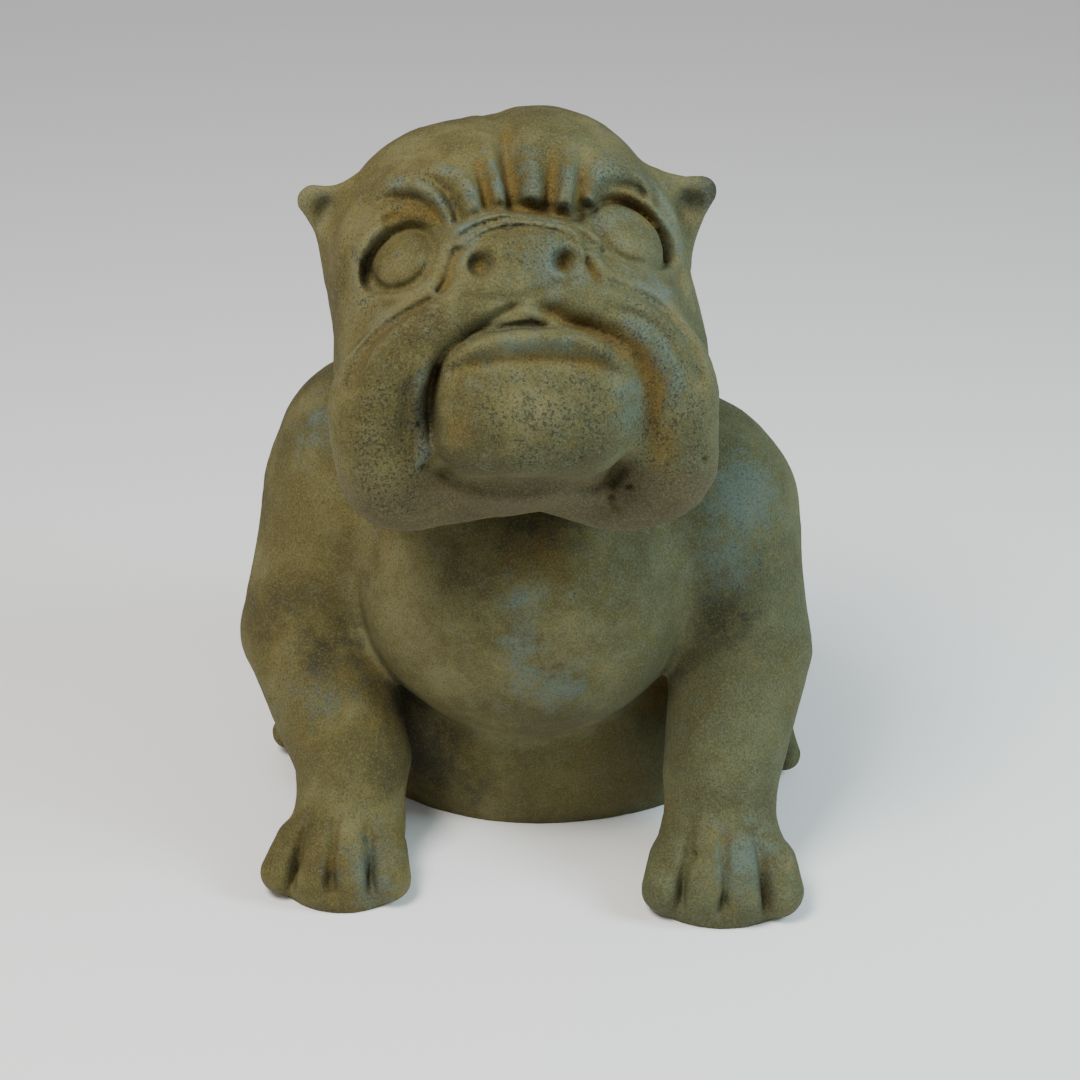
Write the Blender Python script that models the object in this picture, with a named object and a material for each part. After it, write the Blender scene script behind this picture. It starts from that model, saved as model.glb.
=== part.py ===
"""Seated bulldog garden statue, cast in one piece of stone mix and standing on its own soles.

The dog faces -Y with +Z up. Its origin is on the ground, under the middle of its bounding box.
The body is one function of a point, `statue`, which is about the distance to the dog's skin and is
negative inside. Masses are joined by soft unions, and the carving is raised or sunk on them by
lines and dimples. The zero surface of that function is meshed, thinned and cut flat at the soles.
"""

from concurrent.futures import ThreadPoolExecutor

import bmesh
import bpy
import numpy as np

# Driving size, in metres. Every form of the figure is a share of it.
HEIGHT = 0.40

# Pitch of the sampling grid, and the number of triangles kept before the soles are cut.
PITCH = 0.0022
TRIANGLES = 9800

# Corners nearer than this share of the height are merged, such as where the ground cuts close to one.
MERGED = 0.0002

# The face, drawn out while triangles are joined so that it keeps the smaller ones
FACE_AT = (0.01, -0.36, 0.82)
FACE_REACH = 0.24

# Middle of the head, and the degrees that it is turned to the dog's left
HEAD_AT = np.array((0.0, -0.20, 0.80))
HEAD_YAW = 10.5

SIDES = (-1, 1)


def turned(yaw=0.0, pitch=0.0):
    """Rotation matrix: pitch about X, then yaw about Z, in degrees."""
    a, b = np.radians((yaw, pitch))
    about_z = np.array(((np.cos(a), -np.sin(a), 0), (np.sin(a), np.cos(a), 0), (0, 0, 1)))
    about_x = np.array(((1, 0, 0), (0, np.cos(b), -np.sin(b)), (0, np.sin(b), np.cos(b))))
    return about_z @ about_x


def ellipsoid(p, centre, radii, turn=None):
    """Distance to an ellipsoid: its scaled radius, less one, over the gradient of that radius."""
    q = p - np.array(centre)
    if turn is not None:
        q = q @ turn
    q = q / np.array(radii)
    length = np.sqrt((q * q).sum(1)) + 1e-9
    slope = np.sqrt(((q / np.array(radii)) ** 2).sum(1)) + 1e-9
    return length * (length - 1) / slope


def limb(p, points, radii):
    """Distance to a chain of round cones: to each segment, less a radius that runs from end to end."""
    found = np.full(len(p), np.inf)
    for a, b, ra, rb in zip(points[:-1], points[1:], radii[:-1], radii[1:]):
        a, b = np.array(a, float), np.array(b, float)
        along = b - a
        t = np.clip((p - a) @ along / (along @ along), 0, 1)
        gap = np.sqrt(((p - a - t[:, None] * along) ** 2).sum(1)) - (ra + t * (rb - ra))
        found = np.minimum(found, gap)
    return found


def rounded_box(p, centre, half, rounding, turn=None):
    """Distance to a box with round edges: to the shrunken box, less the rounding."""
    q = p - np.array(centre)
    if turn is not None:
        q = q @ turn
    q = np.abs(q) - (np.array(half) - rounding)
    outside = np.sqrt((np.maximum(q, 0) ** 2).sum(1))
    return outside + np.minimum(q.max(1), 0) - rounding


def blend(a, b, k):
    """Soft union: the lesser distance, less a parabola where the two are within k of each other."""
    h = np.maximum(k - np.abs(a - b), 0) / k
    return np.minimum(a, b) - h * h * k / 4


def cut(a, b, k):
    """Soft difference: a, with the inside of b taken away and the edge rounded over k."""
    return -blend(-a, b, k)


def curve(points, steps=5):
    """Smooth line through the points, each span bent as a Catmull-Rom cubic and cut in short pieces."""
    c = np.array(points, float)
    c = np.vstack((2 * c[:1] - c[1:2], c, 2 * c[-1:] - c[-2:-1]))
    t = np.linspace(0, 1, steps + 1)[:-1, None]
    a, b, d, e = (c[k : len(c) - 3 + k, None] for k in range(4))
    bent = 0.5 * (2 * b + (d - a) * t + (2 * a - 5 * b + 4 * d - e) * t**2 + (3 * b - a - 3 * d + e) * t**3)
    return np.vstack((bent.reshape(-1, c.shape[1]), c[-2:-1]))


def line_gap(flat, points):
    """Distance from flat places to a bent line, and how far along it, from 0 to 1, the nearest lies."""
    line = curve(points)
    best = np.full(len(flat), np.inf)
    along = np.zeros(len(flat))
    spans = len(line) - 1
    for n, (a, b) in enumerate(zip(line[:-1], line[1:])):
        run = b - a
        t = np.clip((flat - a) @ run / (run @ run), 0, 1)
        gap = ((flat - a - t[:, None] * run) ** 2).sum(1)
        closer = gap < best
        best[closer] = gap[closer]
        along[closer] = (n + t[closer]) / spans
    return np.sqrt(best), along


def carved(f, flat, lines, weight=1.0, fade_in=0.1, fade_out=0.1):
    """Sinks lines into f: each is its depth times exp(-(gap / width) squared), and fades in and out over
    those shares of its length. The deepest line counts, and a depth below zero raises a fold."""
    sunk = np.zeros(len(f))
    raised = np.zeros(len(f))
    for depth, width, points in lines:
        low, high = np.min(points, 0) - 3 * width, np.max(points, 0) + 3 * width
        near = np.flatnonzero(((flat > low) & (flat < high)).all(1))
        if len(near):
            gap, along = line_gap(flat[near], points)
            fade = np.minimum(along / fade_in + 0.2, (1 - along) / fade_out)
            change = depth * np.clip(fade, 0, 1) * np.exp(-((gap / width) ** 2))
            sunk[near] = np.maximum(sunk[near], change)
            raised[near] = np.minimum(raised[near], change)
    return f + (sunk + raised) * weight


def step(value, start, end):
    """Smooth step from 0 at start to 1 at end."""
    t = np.clip((value - start) / (end - start), 0, 1)
    return t * t * (3 - 2 * t)


# Depth, width and place (across, up) of the lines sunk in the back: neck rolls, shoulders and spine.
BACK_LINES = (
    (0.012, 0.020, ((-0.230, 0.700), (-0.120, 0.775), (0.000, 0.795), (0.120, 0.775), (0.230, 0.700))),
    (0.010, 0.022, ((-0.220, 0.610), (-0.110, 0.680), (0.000, 0.700), (0.110, 0.680), (0.220, 0.610))),
    (0.014, 0.030, ((0.000, 0.640), (0.000, 0.480), (0.000, 0.300), (0.000, 0.180))),
)


def torso(p):
    f = ellipsoid(p, (0, 0.0, 0.395), (0.262, 0.215, 0.265), turned(pitch=25))
    f = blend(f, ellipsoid(p, (0, 0.08, 0.24), (0.25, 0.24, 0.24)), 0.10)
    f = blend(f, limb(p, ((-0.016, 0.0, 0.54), (-0.012, -0.12, 0.76)), (0.18, 0.19)), 0.06)
    f = blend(f, ellipsoid(p, (-0.225, -0.03, 0.45), (0.125, 0.15, 0.17)), 0.07)
    f = blend(f, ellipsoid(p, (0.224, -0.03, 0.410), (0.125, 0.15, 0.16)), 0.07)
    f = blend(f, ellipsoid(p, (0, 0.20, 0.17), (0.22, 0.18, 0.19)), 0.08)
    f = carved(f, p[:, [0, 2]], BACK_LINES, step(p[:, 1], 0.0, 0.06), 0.25, 0.25)
    tail = ((0.0, 0.33, 0.10), (0.012, 0.375, 0.125), (0.030, 0.375, 0.155))
    return blend(f, limb(p, tail, (0.045, 0.030, 0.018)), 0.02)


def chest_and_belly(p):
    f = ellipsoid(p, (0, -0.155, 0.360), (0.215, 0.15, 0.205))
    belly = ellipsoid(p, (0.0, 0.0, 0.14), (0.24, 0.20, 0.20))
    belly = blend(belly, ellipsoid(p, (0.0, 0.06, 0.03), (0.30, 0.215, 0.11)), 0.05)
    return blend(f, belly, 0.03)


# Toes of each paw, and the degrees from one to the next
TOES = 4
TOE_FAN = 15


def paw(p, ankle, splay, span, reach):
    """Toes fanned from the ankle, with a groove between each two. A toe is a chain of two round cones, and
    all of them end in one low, smooth pad on the ground."""
    f = ellipsoid(p, ankle + np.array((0, -0.03, -0.010)), (span * 0.47, 0.085, 0.062))
    grooves = []
    for n in range(TOES):
        place = n - (TOES - 1) / 2
        lean = np.radians(splay + place * TOE_FAN)
        far = reach * (1 - 0.06 * abs(place))
        way = np.array((np.sin(lean), -np.cos(lean), 0))
        across = np.array((place * span * 0.15, 0, 0))
        knuckle = ankle + across + way * far * 0.60 + np.array((0, 0, 0.056 - ankle[2]))
        tip = ankle + across + way * far + np.array((0, 0, 0.032 - ankle[2]))
        toe = limb(p, (ankle, knuckle, tip), (span * 0.20, span * 0.205, span * 0.185))
        f = blend(f, toe, 0.010)
        if n < TOES - 1:
            place = place + 0.5
            lean = np.radians(splay + place * TOE_FAN)
            way = np.array((np.sin(lean), -np.cos(lean)))
            start = ankle[:2] + (place * span * 0.15, 0)
            grooves.append((0.010, 0.007, (start + way * reach * 0.5, start + way * reach * 1.5)))
    f = carved(f, p[:, :2], grooves, step(p[:, 2], 0.014, 0.034), 0.25, 0.02)
    base = ellipsoid(p, (ankle[0], ankle[1] - reach * 0.42, 0.010), (span * 0.54, reach * 0.86, 0.036))
    return blend(f, base, 0.010)


def haunches(p):
    f = np.full(len(p), np.inf)
    for s in SIDES:
        thigh = ellipsoid(p, (s * 0.235, 0.12, 0.20), (0.13, 0.20, 0.18), turned(pitch=-15))
        thigh = blend(thigh, ellipsoid(p, (s * 0.285, 0.0, 0.15), (0.083, 0.09, 0.12)), 0.05)
        thigh = blend(thigh, ellipsoid(p, (s * 0.270, 0.12, 0.06), (0.090, 0.13, 0.09)), 0.04)
        foot = paw(p, np.array((s * 0.288, 0.065, 0.045)), s * 6, 0.125, 0.085)
        f = np.minimum(f, blend(thigh, foot, 0.02))
    return f


# Each foreleg: where its elbow and its foot stand to the side, the paw's width and the toes' length.
FORELEGS = {-1: (0.292, 0.223, 0.156, 0.100), 1: (0.287, 0.268, 0.176, 0.094)}


def foreleg(p, s):
    elbow, foot, span, reach = FORELEGS[s]
    ankle = np.array((s * foot, -0.268, 0.062))
    wrist = (s * (foot - 0.003), -0.235, 0.14)
    bones = ((s * 0.255, -0.06, 0.44), (s * elbow, -0.125, 0.27), wrist, ankle)
    f = limb(p, bones, (0.095, 0.092, 0.076, 0.068))
    return blend(f, paw(p, ankle, s * 4, span, reach), 0.03)


# Place (across, back) of the shallow line over the crown, where the left half of the skull stands lower
CROWN_LINE = ((-0.020, -0.16), (-0.022, -0.06), (-0.024, 0.04), (-0.020, 0.14))


def head_mass(q):
    """Skull and cheeks in the head's upright frame: -Y is the way it looks."""
    f = ellipsoid(q, (-0.035, 0.06, 0.023), (0.193, 0.17, 0.160))
    f = blend(f, ellipsoid(q, (0.028, 0.06, 0.024), (0.160, 0.17, 0.170)), 0.02)
    f = carved(f, q[:, [0, 1]], ((0.008, 0.014, CROWN_LINE),), step(q[:, 2], 0.10, 0.15))
    for s in SIDES:
        f = blend(f, ellipsoid(q, (s * 0.118, 0.0, -0.08), (0.103, 0.14, 0.16)), 0.06)
        f = blend(f, ellipsoid(q, (s * 0.128, -0.065, -0.120), (0.088, 0.105, 0.135)), 0.05)
    f = blend(f, ellipsoid(q, (0, -0.085, 0.02), (0.17, 0.09, 0.085)), 0.04)
    f = blend(f, ellipsoid(q, (0.0, -0.105, -0.185), (0.125, 0.085, 0.050)), 0.03)
    chin = rounded_box(q, (0.002, -0.122, -0.098), (0.122, 0.103, 0.080), 0.062)
    chin = blend(chin, ellipsoid(q, (0.002, -0.150, -0.100), (0.112, 0.090, 0.068)), 0.03)
    return blend(f, chin, 0.020)


# The face is laid out on a plane across the muzzle that leans back by FACE_LEAN degrees. Places on it
# are (across, up) in shares of the height, from the middle of the head.
FACE_LEAN = 25
LIP_LEFT = ((-0.012, -0.022), (-0.070, -0.038), (-0.122, -0.062), (-0.160, -0.096), (-0.182, -0.140))
LIP_RIGHT = ((-0.012, -0.022), (0.054, -0.034), (0.104, -0.055), (0.145, -0.090), (0.165, -0.134))
LIP_EDGE = (
    (-0.010, -0.036), (-0.045, -0.054), (-0.082, -0.076), (-0.108, -0.099), (-0.121, -0.140),
    (-0.121, -0.195),
)
LIP_VALLEY = (
    (0.000, -0.042), (0.040, -0.058), (0.080, -0.074), (0.113, -0.096), (0.137, -0.130), (0.142, -0.165),
    (0.134, -0.215),
)
MOUTH = ((-0.078, -0.076), (-0.045, -0.065), (0.002, -0.063), (0.047, -0.068))
LOWER_LIP = ((-0.090, -0.091), (-0.045, -0.080), (0.000, -0.078), (0.050, -0.081), (0.094, -0.100))
CHIN_TOP = ((-0.110, -0.113), (-0.055, -0.103), (0.005, -0.101), (0.062, -0.109), (0.104, -0.128))
CHIN_LOW = ((-0.116, -0.215), (-0.075, -0.243), (0.012, -0.250), (0.085, -0.243), (0.121, -0.215))
STOP = ((-0.024, 0.079), (-0.004, 0.076), (0.022, 0.069), (0.053, 0.064), (0.070, 0.070), (0.078, 0.086))
NOSE_RIM = (
    (-0.088, 0.044), (-0.066, 0.058), (-0.030, 0.067), (0.005, 0.066), (0.040, 0.058), (0.069, 0.043),
    (0.085, 0.018),
)
INNER_RIM = (
    (-0.080, 0.032), (-0.057, 0.047), (-0.028, 0.056), (0.002, 0.056), (0.038, 0.048), (0.056, 0.033),
    (0.062, 0.000),
)
NOSE_DIP = (
    (-0.084, 0.018), (-0.070, 0.034), (-0.048, 0.044), (-0.020, 0.047), (0.010, 0.046), (0.035, 0.038),
    (0.050, 0.020),
)
NOSE_WING = ((-0.080, 0.034), (-0.088, 0.011), (-0.097, -0.010), (-0.110, -0.026))
NOSE_SLIT = ((0.062, 0.012), (0.070, -0.002), (0.080, -0.022))
NOSE_FOOT = (
    (-0.100, -0.026), (-0.062, -0.031), (-0.022, -0.034), (0.013, -0.024), (0.054, -0.014), (0.080, -0.017),
)
LID_LEFT = ((-0.166, 0.066), (-0.135, 0.071), (-0.100, 0.055))
LID_RIGHT = ((0.075, 0.087), (0.090, 0.095), (0.109, 0.102), (0.135, 0.101), (0.150, 0.084))
CHEEK_LEFT = ((-0.099, -0.025), (-0.142, -0.045), (-0.177, -0.068), (-0.202, -0.095), (-0.213, -0.140))
CHEEK_RIGHT = ((0.079, -0.014), (0.127, -0.032), (0.161, -0.060), (0.183, -0.100), (0.197, -0.150))
TEMPLE_LEFT = ((-0.178, 0.104), (-0.197, 0.062), (-0.207, 0.025), (-0.210, -0.020))
TEMPLE_RIGHT = ((0.149, 0.134), (0.162, 0.092), (0.175, 0.047), (0.182, 0.000), (0.186, -0.040))
NOSTRILS = ((-0.057, 0.008), (0.038, 0.009))
BROW = (
    (-0.202, -0.010), (-0.196, 0.050), (-0.164, 0.096), (-0.110, 0.112), (-0.060, 0.100), (0.000, 0.096),
    (0.060, 0.096), (0.095, 0.114), (0.130, 0.116), (0.160, 0.095), (0.177, 0.055), (0.182, 0.000),
)

# Eyes: side, middle of the ball, half its length, and its width over its length. The ball leans down
# to its outer corner.
EYES = ((-1, (-0.145, 0.022), 0.041, 0.76), (1, (0.125, 0.042), 0.051, 0.68))


def lips(q):
    """The two hanging lips. Each is a roll from under the nose down its side and in under the chin: two
    chains of cones, set side by side along one path so that the front is broad and rather flat."""
    f = np.full(len(q), np.inf)
    thick = np.array((0.012, 0.022, 0.035, 0.045, 0.052, 0.055, 0.053, 0.045, 0.034))
    for s, top in ((-1, LIP_LEFT), (1, LIP_RIGHT)):
        front = (-0.160, -0.150, -0.136, -0.117, -0.095)
        path = [(x, y, z) for (x, z), y in zip(top, front)]
        path += [(s * 0.172 - 0.006, -0.066, -0.190), (s * 0.164, -0.034, -0.236)]
        path += [(s * 0.100, -0.012, -0.250 - s * 0.008), (0.012 + s * 0.01, -0.004, -0.240)]
        roll = curve(np.column_stack((path, thick)), 4)
        middle, radius = roll[:, :3], roll[:, 3:]
        along = np.gradient(middle, axis=0)
        beside = np.stack((-along[:, 2], 0 * along[:, 1], along[:, 0]), 1)
        beside = 0.31 * radius * beside / np.sqrt((beside**2).sum(1))[:, None]
        middle = middle - (0, 1, 0) * radius * 0.26
        pair = [limb(q, middle + way * beside, 0.72 * radius[:, 0]) for way in SIDES]
        f = np.minimum(f, blend(*pair, 0.03))
    return f


def eyes(f, q):
    """Each eye is a low dome in a sunk bowl, under a crisp lid line. `ring` is 1 at the dome's edge."""
    front = step(q[:, 1], 0.0, -0.05)
    for s, (x, z), half, squat in EYES:
        lean = np.radians(-s * 40)
        a = (q[:, 0] - x) * np.cos(lean) + (q[:, 2] - z) * np.sin(lean)
        b = -(q[:, 0] - x) * np.sin(lean) + (q[:, 2] - z) * np.cos(lean)
        ring = np.sqrt((a / half) ** 2 + (b / (half * squat)) ** 2)
        f = f + 0.015 * front * (1 - step(ring, 0.9, 1.8))
        f = f - 0.016 * front * np.clip(1 - ring**2 / 1.1, 0, 1)
        away = (ring - 1) * half * 0.85
        upper = step(b, -0.020, 0.010)
        f = f + 0.008 * front * upper * np.exp(-((away - 0.001) / 0.005) ** 2)
        f = f - 0.007 * front * upper * np.exp(-((away - 0.013) / 0.007) ** 2)
        f = f - 0.005 * front * (1 - upper) * np.exp(-((away - 0.007) / 0.006) ** 2)
    return f


def nose(f, q):
    f = blend(f, ellipsoid(q, (-0.008, -0.126, 0.014), (0.084, 0.057, 0.047)), 0.014)
    front = step(q[:, 1], -0.02, -0.08)
    lines = ((-0.008, 0.005, NOSE_RIM), (-0.006, 0.0045, INNER_RIM), (0.006, 0.006, NOSE_DIP))
    f = carved(f, q[:, [0, 2]], lines, front)
    for x, z in NOSTRILS:
        gap = ((q[:, 0] - x) ** 2 + (q[:, 2] - z) ** 2) / 0.015**2
        f = f - 0.004 * front * np.exp(-gap / 3)
        f = f + 0.017 * front * np.exp(-(gap**2))
    return f


# Depth, width and place of each line, from its top or its inner end. A depth below zero raises a fold.
BROW_FOLDS = (
    (0.010, 0.009, ((-0.180, 0.080), (-0.163, 0.094), (-0.128, 0.093), (-0.105, 0.076), (-0.091, 0.052))),
    (0.012, 0.009, ((-0.125, 0.115), (-0.093, 0.102), (-0.081, 0.078), (-0.076, 0.056))),
    (0.013, 0.009, ((-0.054, 0.145), (-0.047, 0.106), (-0.042, 0.070))),
    (0.015, 0.011, ((-0.010, 0.195), (-0.014, 0.133), (-0.013, 0.076))),
    (0.015, 0.010, ((0.040, 0.155), (0.031, 0.106), (0.025, 0.070))),
    (0.014, 0.009, ((0.075, 0.140), (0.067, 0.098), (0.060, 0.066))),
    (-0.007, 0.010, ((-0.165, 0.110), (-0.150, 0.113), (-0.119, 0.106), (-0.098, 0.087), (-0.080, 0.057))),
    (-0.009, 0.010, ((-0.109, 0.130), (-0.080, 0.120), (-0.064, 0.096), (-0.058, 0.066))),
    (-0.008, 0.009, ((-0.036, 0.150), (-0.031, 0.112), (-0.027, 0.078))),
    (-0.006, 0.014, ((0.010, 0.165), (0.008, 0.115), (0.006, 0.080))),
    (-0.009, 0.010, ((0.060, 0.145), (0.051, 0.105), (0.043, 0.072))),
)
FACE_LINES = (
    (0.018, 0.009, STOP),
    (0.010, 0.009, LIP_EDGE),
    (0.010, 0.013, LIP_VALLEY),
    (0.009, 0.005, MOUTH),
    (-0.009, 0.010, LOWER_LIP),
    (0.006, 0.009, CHIN_TOP),
    (0.008, 0.010, CHIN_LOW),
    (0.011, 0.007, NOSE_WING),
    (0.014, 0.005, NOSE_SLIT),
    (0.004, 0.008, NOSE_FOOT),
    (0.006, 0.010, LID_LEFT),
    (0.008, 0.007, LID_RIGHT),
    (0.010, 0.008, CHEEK_LEFT),
    (0.009, 0.008, CHEEK_RIGHT),
    (0.007, 0.009, TEMPLE_LEFT),
    (0.007, 0.009, TEMPLE_RIGHT),
)


# Middle of the lower lip's roll, as (across, back, up) in the face's frame
LOWER_LIP_ROLL = (
    (-0.085, -0.152, -0.098), (-0.030, -0.166, -0.088), (0.040, -0.166, -0.089), (0.092, -0.152, -0.108),
)


def head(p):
    turn = turned(yaw=HEAD_YAW)
    f = head_mass((p - HEAD_AT) @ turn)
    q = (p - HEAD_AT) @ turn @ turned(pitch=-FACE_LEAN)
    flat = q[:, [0, 2]]
    front = step(q[:, 1], 0.0, -0.05)
    f = carved(f, flat, ((-0.014, 0.030, BROW),), front)
    f = carved(f, flat, BROW_FOLDS, front, 0.5, 0.12)
    f = eyes(f, q)
    lower_lip = limb(q, curve(LOWER_LIP_ROLL, 3), [0.022] * 10)
    f = blend(f, lower_lip, 0.035)
    f = blend(f, ellipsoid(q, (-0.004, -0.150, -0.053), (0.068, 0.027, 0.020)), 0.010)
    f = blend(f, lips(q), 0.028)
    f = nose(f, q)
    f = carved(f, flat, FACE_LINES, front)
    return blend(f, ears((p - HEAD_AT) @ turn), 0.02)


# Each ear's tip, and the upper and lower end of its root, as (across, up) from the middle of the head
EARS = (
    ((-0.243, 0.095), (-0.190, 0.088), (-0.192, 0.026)),
    ((0.226, 0.090), (0.175, 0.086), (0.180, 0.018)),
)


def ears(q):
    """Small flaps that stand out from the sides of the skull, cupped on the front: three flattened cones
    from the root to the tip."""
    f = np.full(len(q), np.inf)
    flat = (q - np.array((0, 0.05, 0))) * np.array((1, 2.0, 1))
    for tip, top, low in EARS:
        halfway = ((top[0] + low[0]) / 2, (top[1] + low[1]) / 2)
        for root, radius in ((top, 0.034), (halfway, 0.042), (low, 0.040)):
            ends = [(x, 0, z) for x, z in (root, tip)]
            f = blend(f, limb(flat, ends, (radius, 0.014)) * 0.6, 0.01)
        bowl = ellipsoid(q, (tip[0] * 0.93, 0.026, tip[1] - 0.014), (0.020, 0.026, 0.024))
        f = cut(f, bowl, 0.012)
    return f


def within(p, centre, reach, form):
    """The form near it, inside a ball it fits in; farther off, the distance to a slightly smaller ball."""
    gap = np.sqrt(((p - np.array(centre)) ** 2).sum(1))
    f = gap - reach + 0.06
    near = gap < reach
    f[near] = form(p[near])
    return f


def statue(p):
    """About the distance from p, in shares of the height, to the dog's skin, negative inside."""
    f = torso(p)
    f = blend(f, chest_and_belly(p), 0.03)
    f = blend(f, haunches(p), 0.03)
    for s in SIDES:
        f = blend(f, within(p, (s * 0.26, -0.20, 0.23), 0.42, lambda near: foreleg(near, s)), 0.03)
    f = blend(f, within(p, (0, -0.19, 0.76), 0.41, head), 0.03)
    return np.maximum(f, -0.012 - p[:, 2])


def sampled(field, points):
    """The field at many points, worked out in slices on all cores."""
    slices = np.array_split(points, max(1, len(points) // 20000))
    with ThreadPoolExecutor() as pool:
        return np.concatenate(list(pool.map(field, slices)))


def joined(value):
    """Changes the grid so that inside and outside never meet only corner to corner, on a grid square or
    across a cell: there the outside value nearest zero is made an inside one. Works until none is left."""
    corner = np.stack(np.meshgrid((0, 1), (0, 1), (0, 1), indexing="ij"), -1).reshape(-1, 3)
    for _ in range(30):
        crossed = value[:-1, :-1, :-1] < 0
        mixed = np.zeros(crossed.shape, bool)
        for x, y, z in corner[1:]:
            there = value[x : x + crossed.shape[0], y : y + crossed.shape[1], z : z + crossed.shape[2]] < 0
            mixed |= there != crossed
        cells = np.argwhere(mixed)
        places = cells[:, None] + corner
        held = value[places[..., 0], places[..., 1], places[..., 2]]
        within_it = held < 0
        turn = []
        for axis in range(3):
            for side in (0, 1):
                ring = [n for n in range(8) if corner[n][axis] == side]
                for pair, other in ((ring[0::3], ring[1:3]), (ring[1:3], ring[0::3])):
                    bad = within_it[:, pair].all(1) & ~within_it[:, other].any(1)
                    turn.append(places[bad][:, other][np.arange(bad.sum()), held[bad][:, other].argmin(1)])
        for n in range(4):
            pair = [n, 7 - n]
            rest = [m for m in range(8) if m not in pair]
            lone = within_it[:, pair].all(1) & ~within_it[:, rest].any(1)
            turn.append(places[lone][:, rest][np.arange(lone.sum()), held[lone][:, rest].argmin(1)])
            hole = ~within_it[:, pair].any(1) & within_it[:, rest].all(1)
            turn.append(places[hole][:, pair][np.arange(hole.sum()), held[hole][:, pair].argmin(1)])
        turn = np.concatenate(turn)
        if not len(turn):
            return
        value[tuple(turn.T)] = -1e-5


def skin(field, low, high, pitch, coarse=4):
    """Surface nets. A corner stands in each cell that the zero surface crosses, at the mean of its
    edges' crossings, and a four-sided face crosses each grid edge whose ends are on both sides.
    The field is sampled on a coarse grid first, and finely only near its zero."""
    low, high = np.array(low, float), np.array(high, float)
    blocks = np.ceil((high - low) / (pitch * coarse)).astype(int)
    wide = pitch * coarse
    centres = np.stack(np.meshgrid(*[(np.arange(n) + 0.5) * wide for n in blocks], indexing="ij"), -1) + low
    rough = sampled(field, centres.reshape(-1, 3)).reshape(blocks)
    value = rough.repeat(coarse, 0).repeat(coarse, 1).repeat(coarse, 2)
    near = np.abs(value) < wide * 2.0
    value[near] = sampled(field, low + (np.argwhere(near) + 0.5) * pitch)
    joined(value)
    cells = np.array(value.shape) - 1
    total = np.zeros((cells.prod(), 3))
    count = np.zeros(cells.prod())
    faces = []
    for axis in range(3):
        start = [slice(None)] * 3
        end = [slice(None)] * 3
        start[axis], end[axis] = slice(0, -1), slice(1, None)
        a, b = value[tuple(start)], value[tuple(end)]
        crossed = np.argwhere((a < 0) != (b < 0))
        u, v = (axis + 1) % 3, (axis + 2) % 3
        across = crossed[:, [u, v]]
        crossed = crossed[((across > 0) & (across < cells[[u, v]])).all(1)]
        va, vb = a[tuple(crossed.T)], b[tuple(crossed.T)]
        place = crossed + 0.5
        place[:, axis] += va / (va - vb)
        ring = []
        for du, dv in ((0, 0), (-1, 0), (-1, -1), (0, -1)):
            cell = crossed.copy()
            cell[:, u] += du
            cell[:, v] += dv
            flat = np.ravel_multi_index(cell.T, cells)
            for k in range(3):
                total[:, k] += np.bincount(flat, place[:, k], len(total))
            count += np.bincount(flat, minlength=len(count))
            ring.append(flat)
        ring = np.stack(ring, 1)
        faces.append(np.where((va < 0)[:, None], ring, ring[:, ::-1]))
    faces = np.concatenate(faces)
    used = np.flatnonzero(count)
    number = np.full(len(count), -1)
    number[used] = np.arange(len(used))
    corners = low + total[used] / count[used][:, None] * pitch
    return settled(field, corners, pitch), number[faces]


def settled(field, corners, pitch, nudge=1e-4):
    """Corners moved onto the zero surface: back along the field's slope by value over slope, and by
    half a pitch at most."""
    value = sampled(field, corners)
    slope = np.stack([sampled(field, corners + nudge * axis) - value for axis in np.eye(3)], 1) / nudge
    move = slope * (value / np.maximum((slope**2).sum(1), 0.3))[:, None]
    length = np.sqrt((move**2).sum(1)) + 1e-12
    return corners - move * np.minimum(1, 0.5 * pitch / length)[:, None]


BOX_LOW, BOX_HIGH = (-0.45, -0.48, -0.06), (0.45, 0.48, 1.08)


def statue_mesh(pitch):
    return skin(statue, BOX_LOW, BOX_HIGH, pitch)


def magnified(places, back=False):
    """Places drawn out from the middle of the face: twice as far at it, and no farther well away from
    it. The same function takes them back, by repeating its own division."""
    middle = np.array(FACE_AT)
    gap = places - middle
    found = gap
    for _ in range(40 if back else 1):
        swell = 1 + np.exp(-(found**2).sum(1) / FACE_REACH**2)[:, None]
        found = gap / swell if back else gap * swell
    return middle + found


def thinned(obj, triangles):
    """The mesh with fewer triangles, the flattest of them joined first."""
    thin = obj.modifiers.new("Thinned", "DECIMATE")
    thin.ratio = triangles / sum(len(p.vertices) - 2 for p in obj.data.polygons)
    depsgraph = bpy.context.evaluated_depsgraph_get()
    return bpy.data.meshes.new_from_object(obj.evaluated_get(depsgraph))


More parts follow.
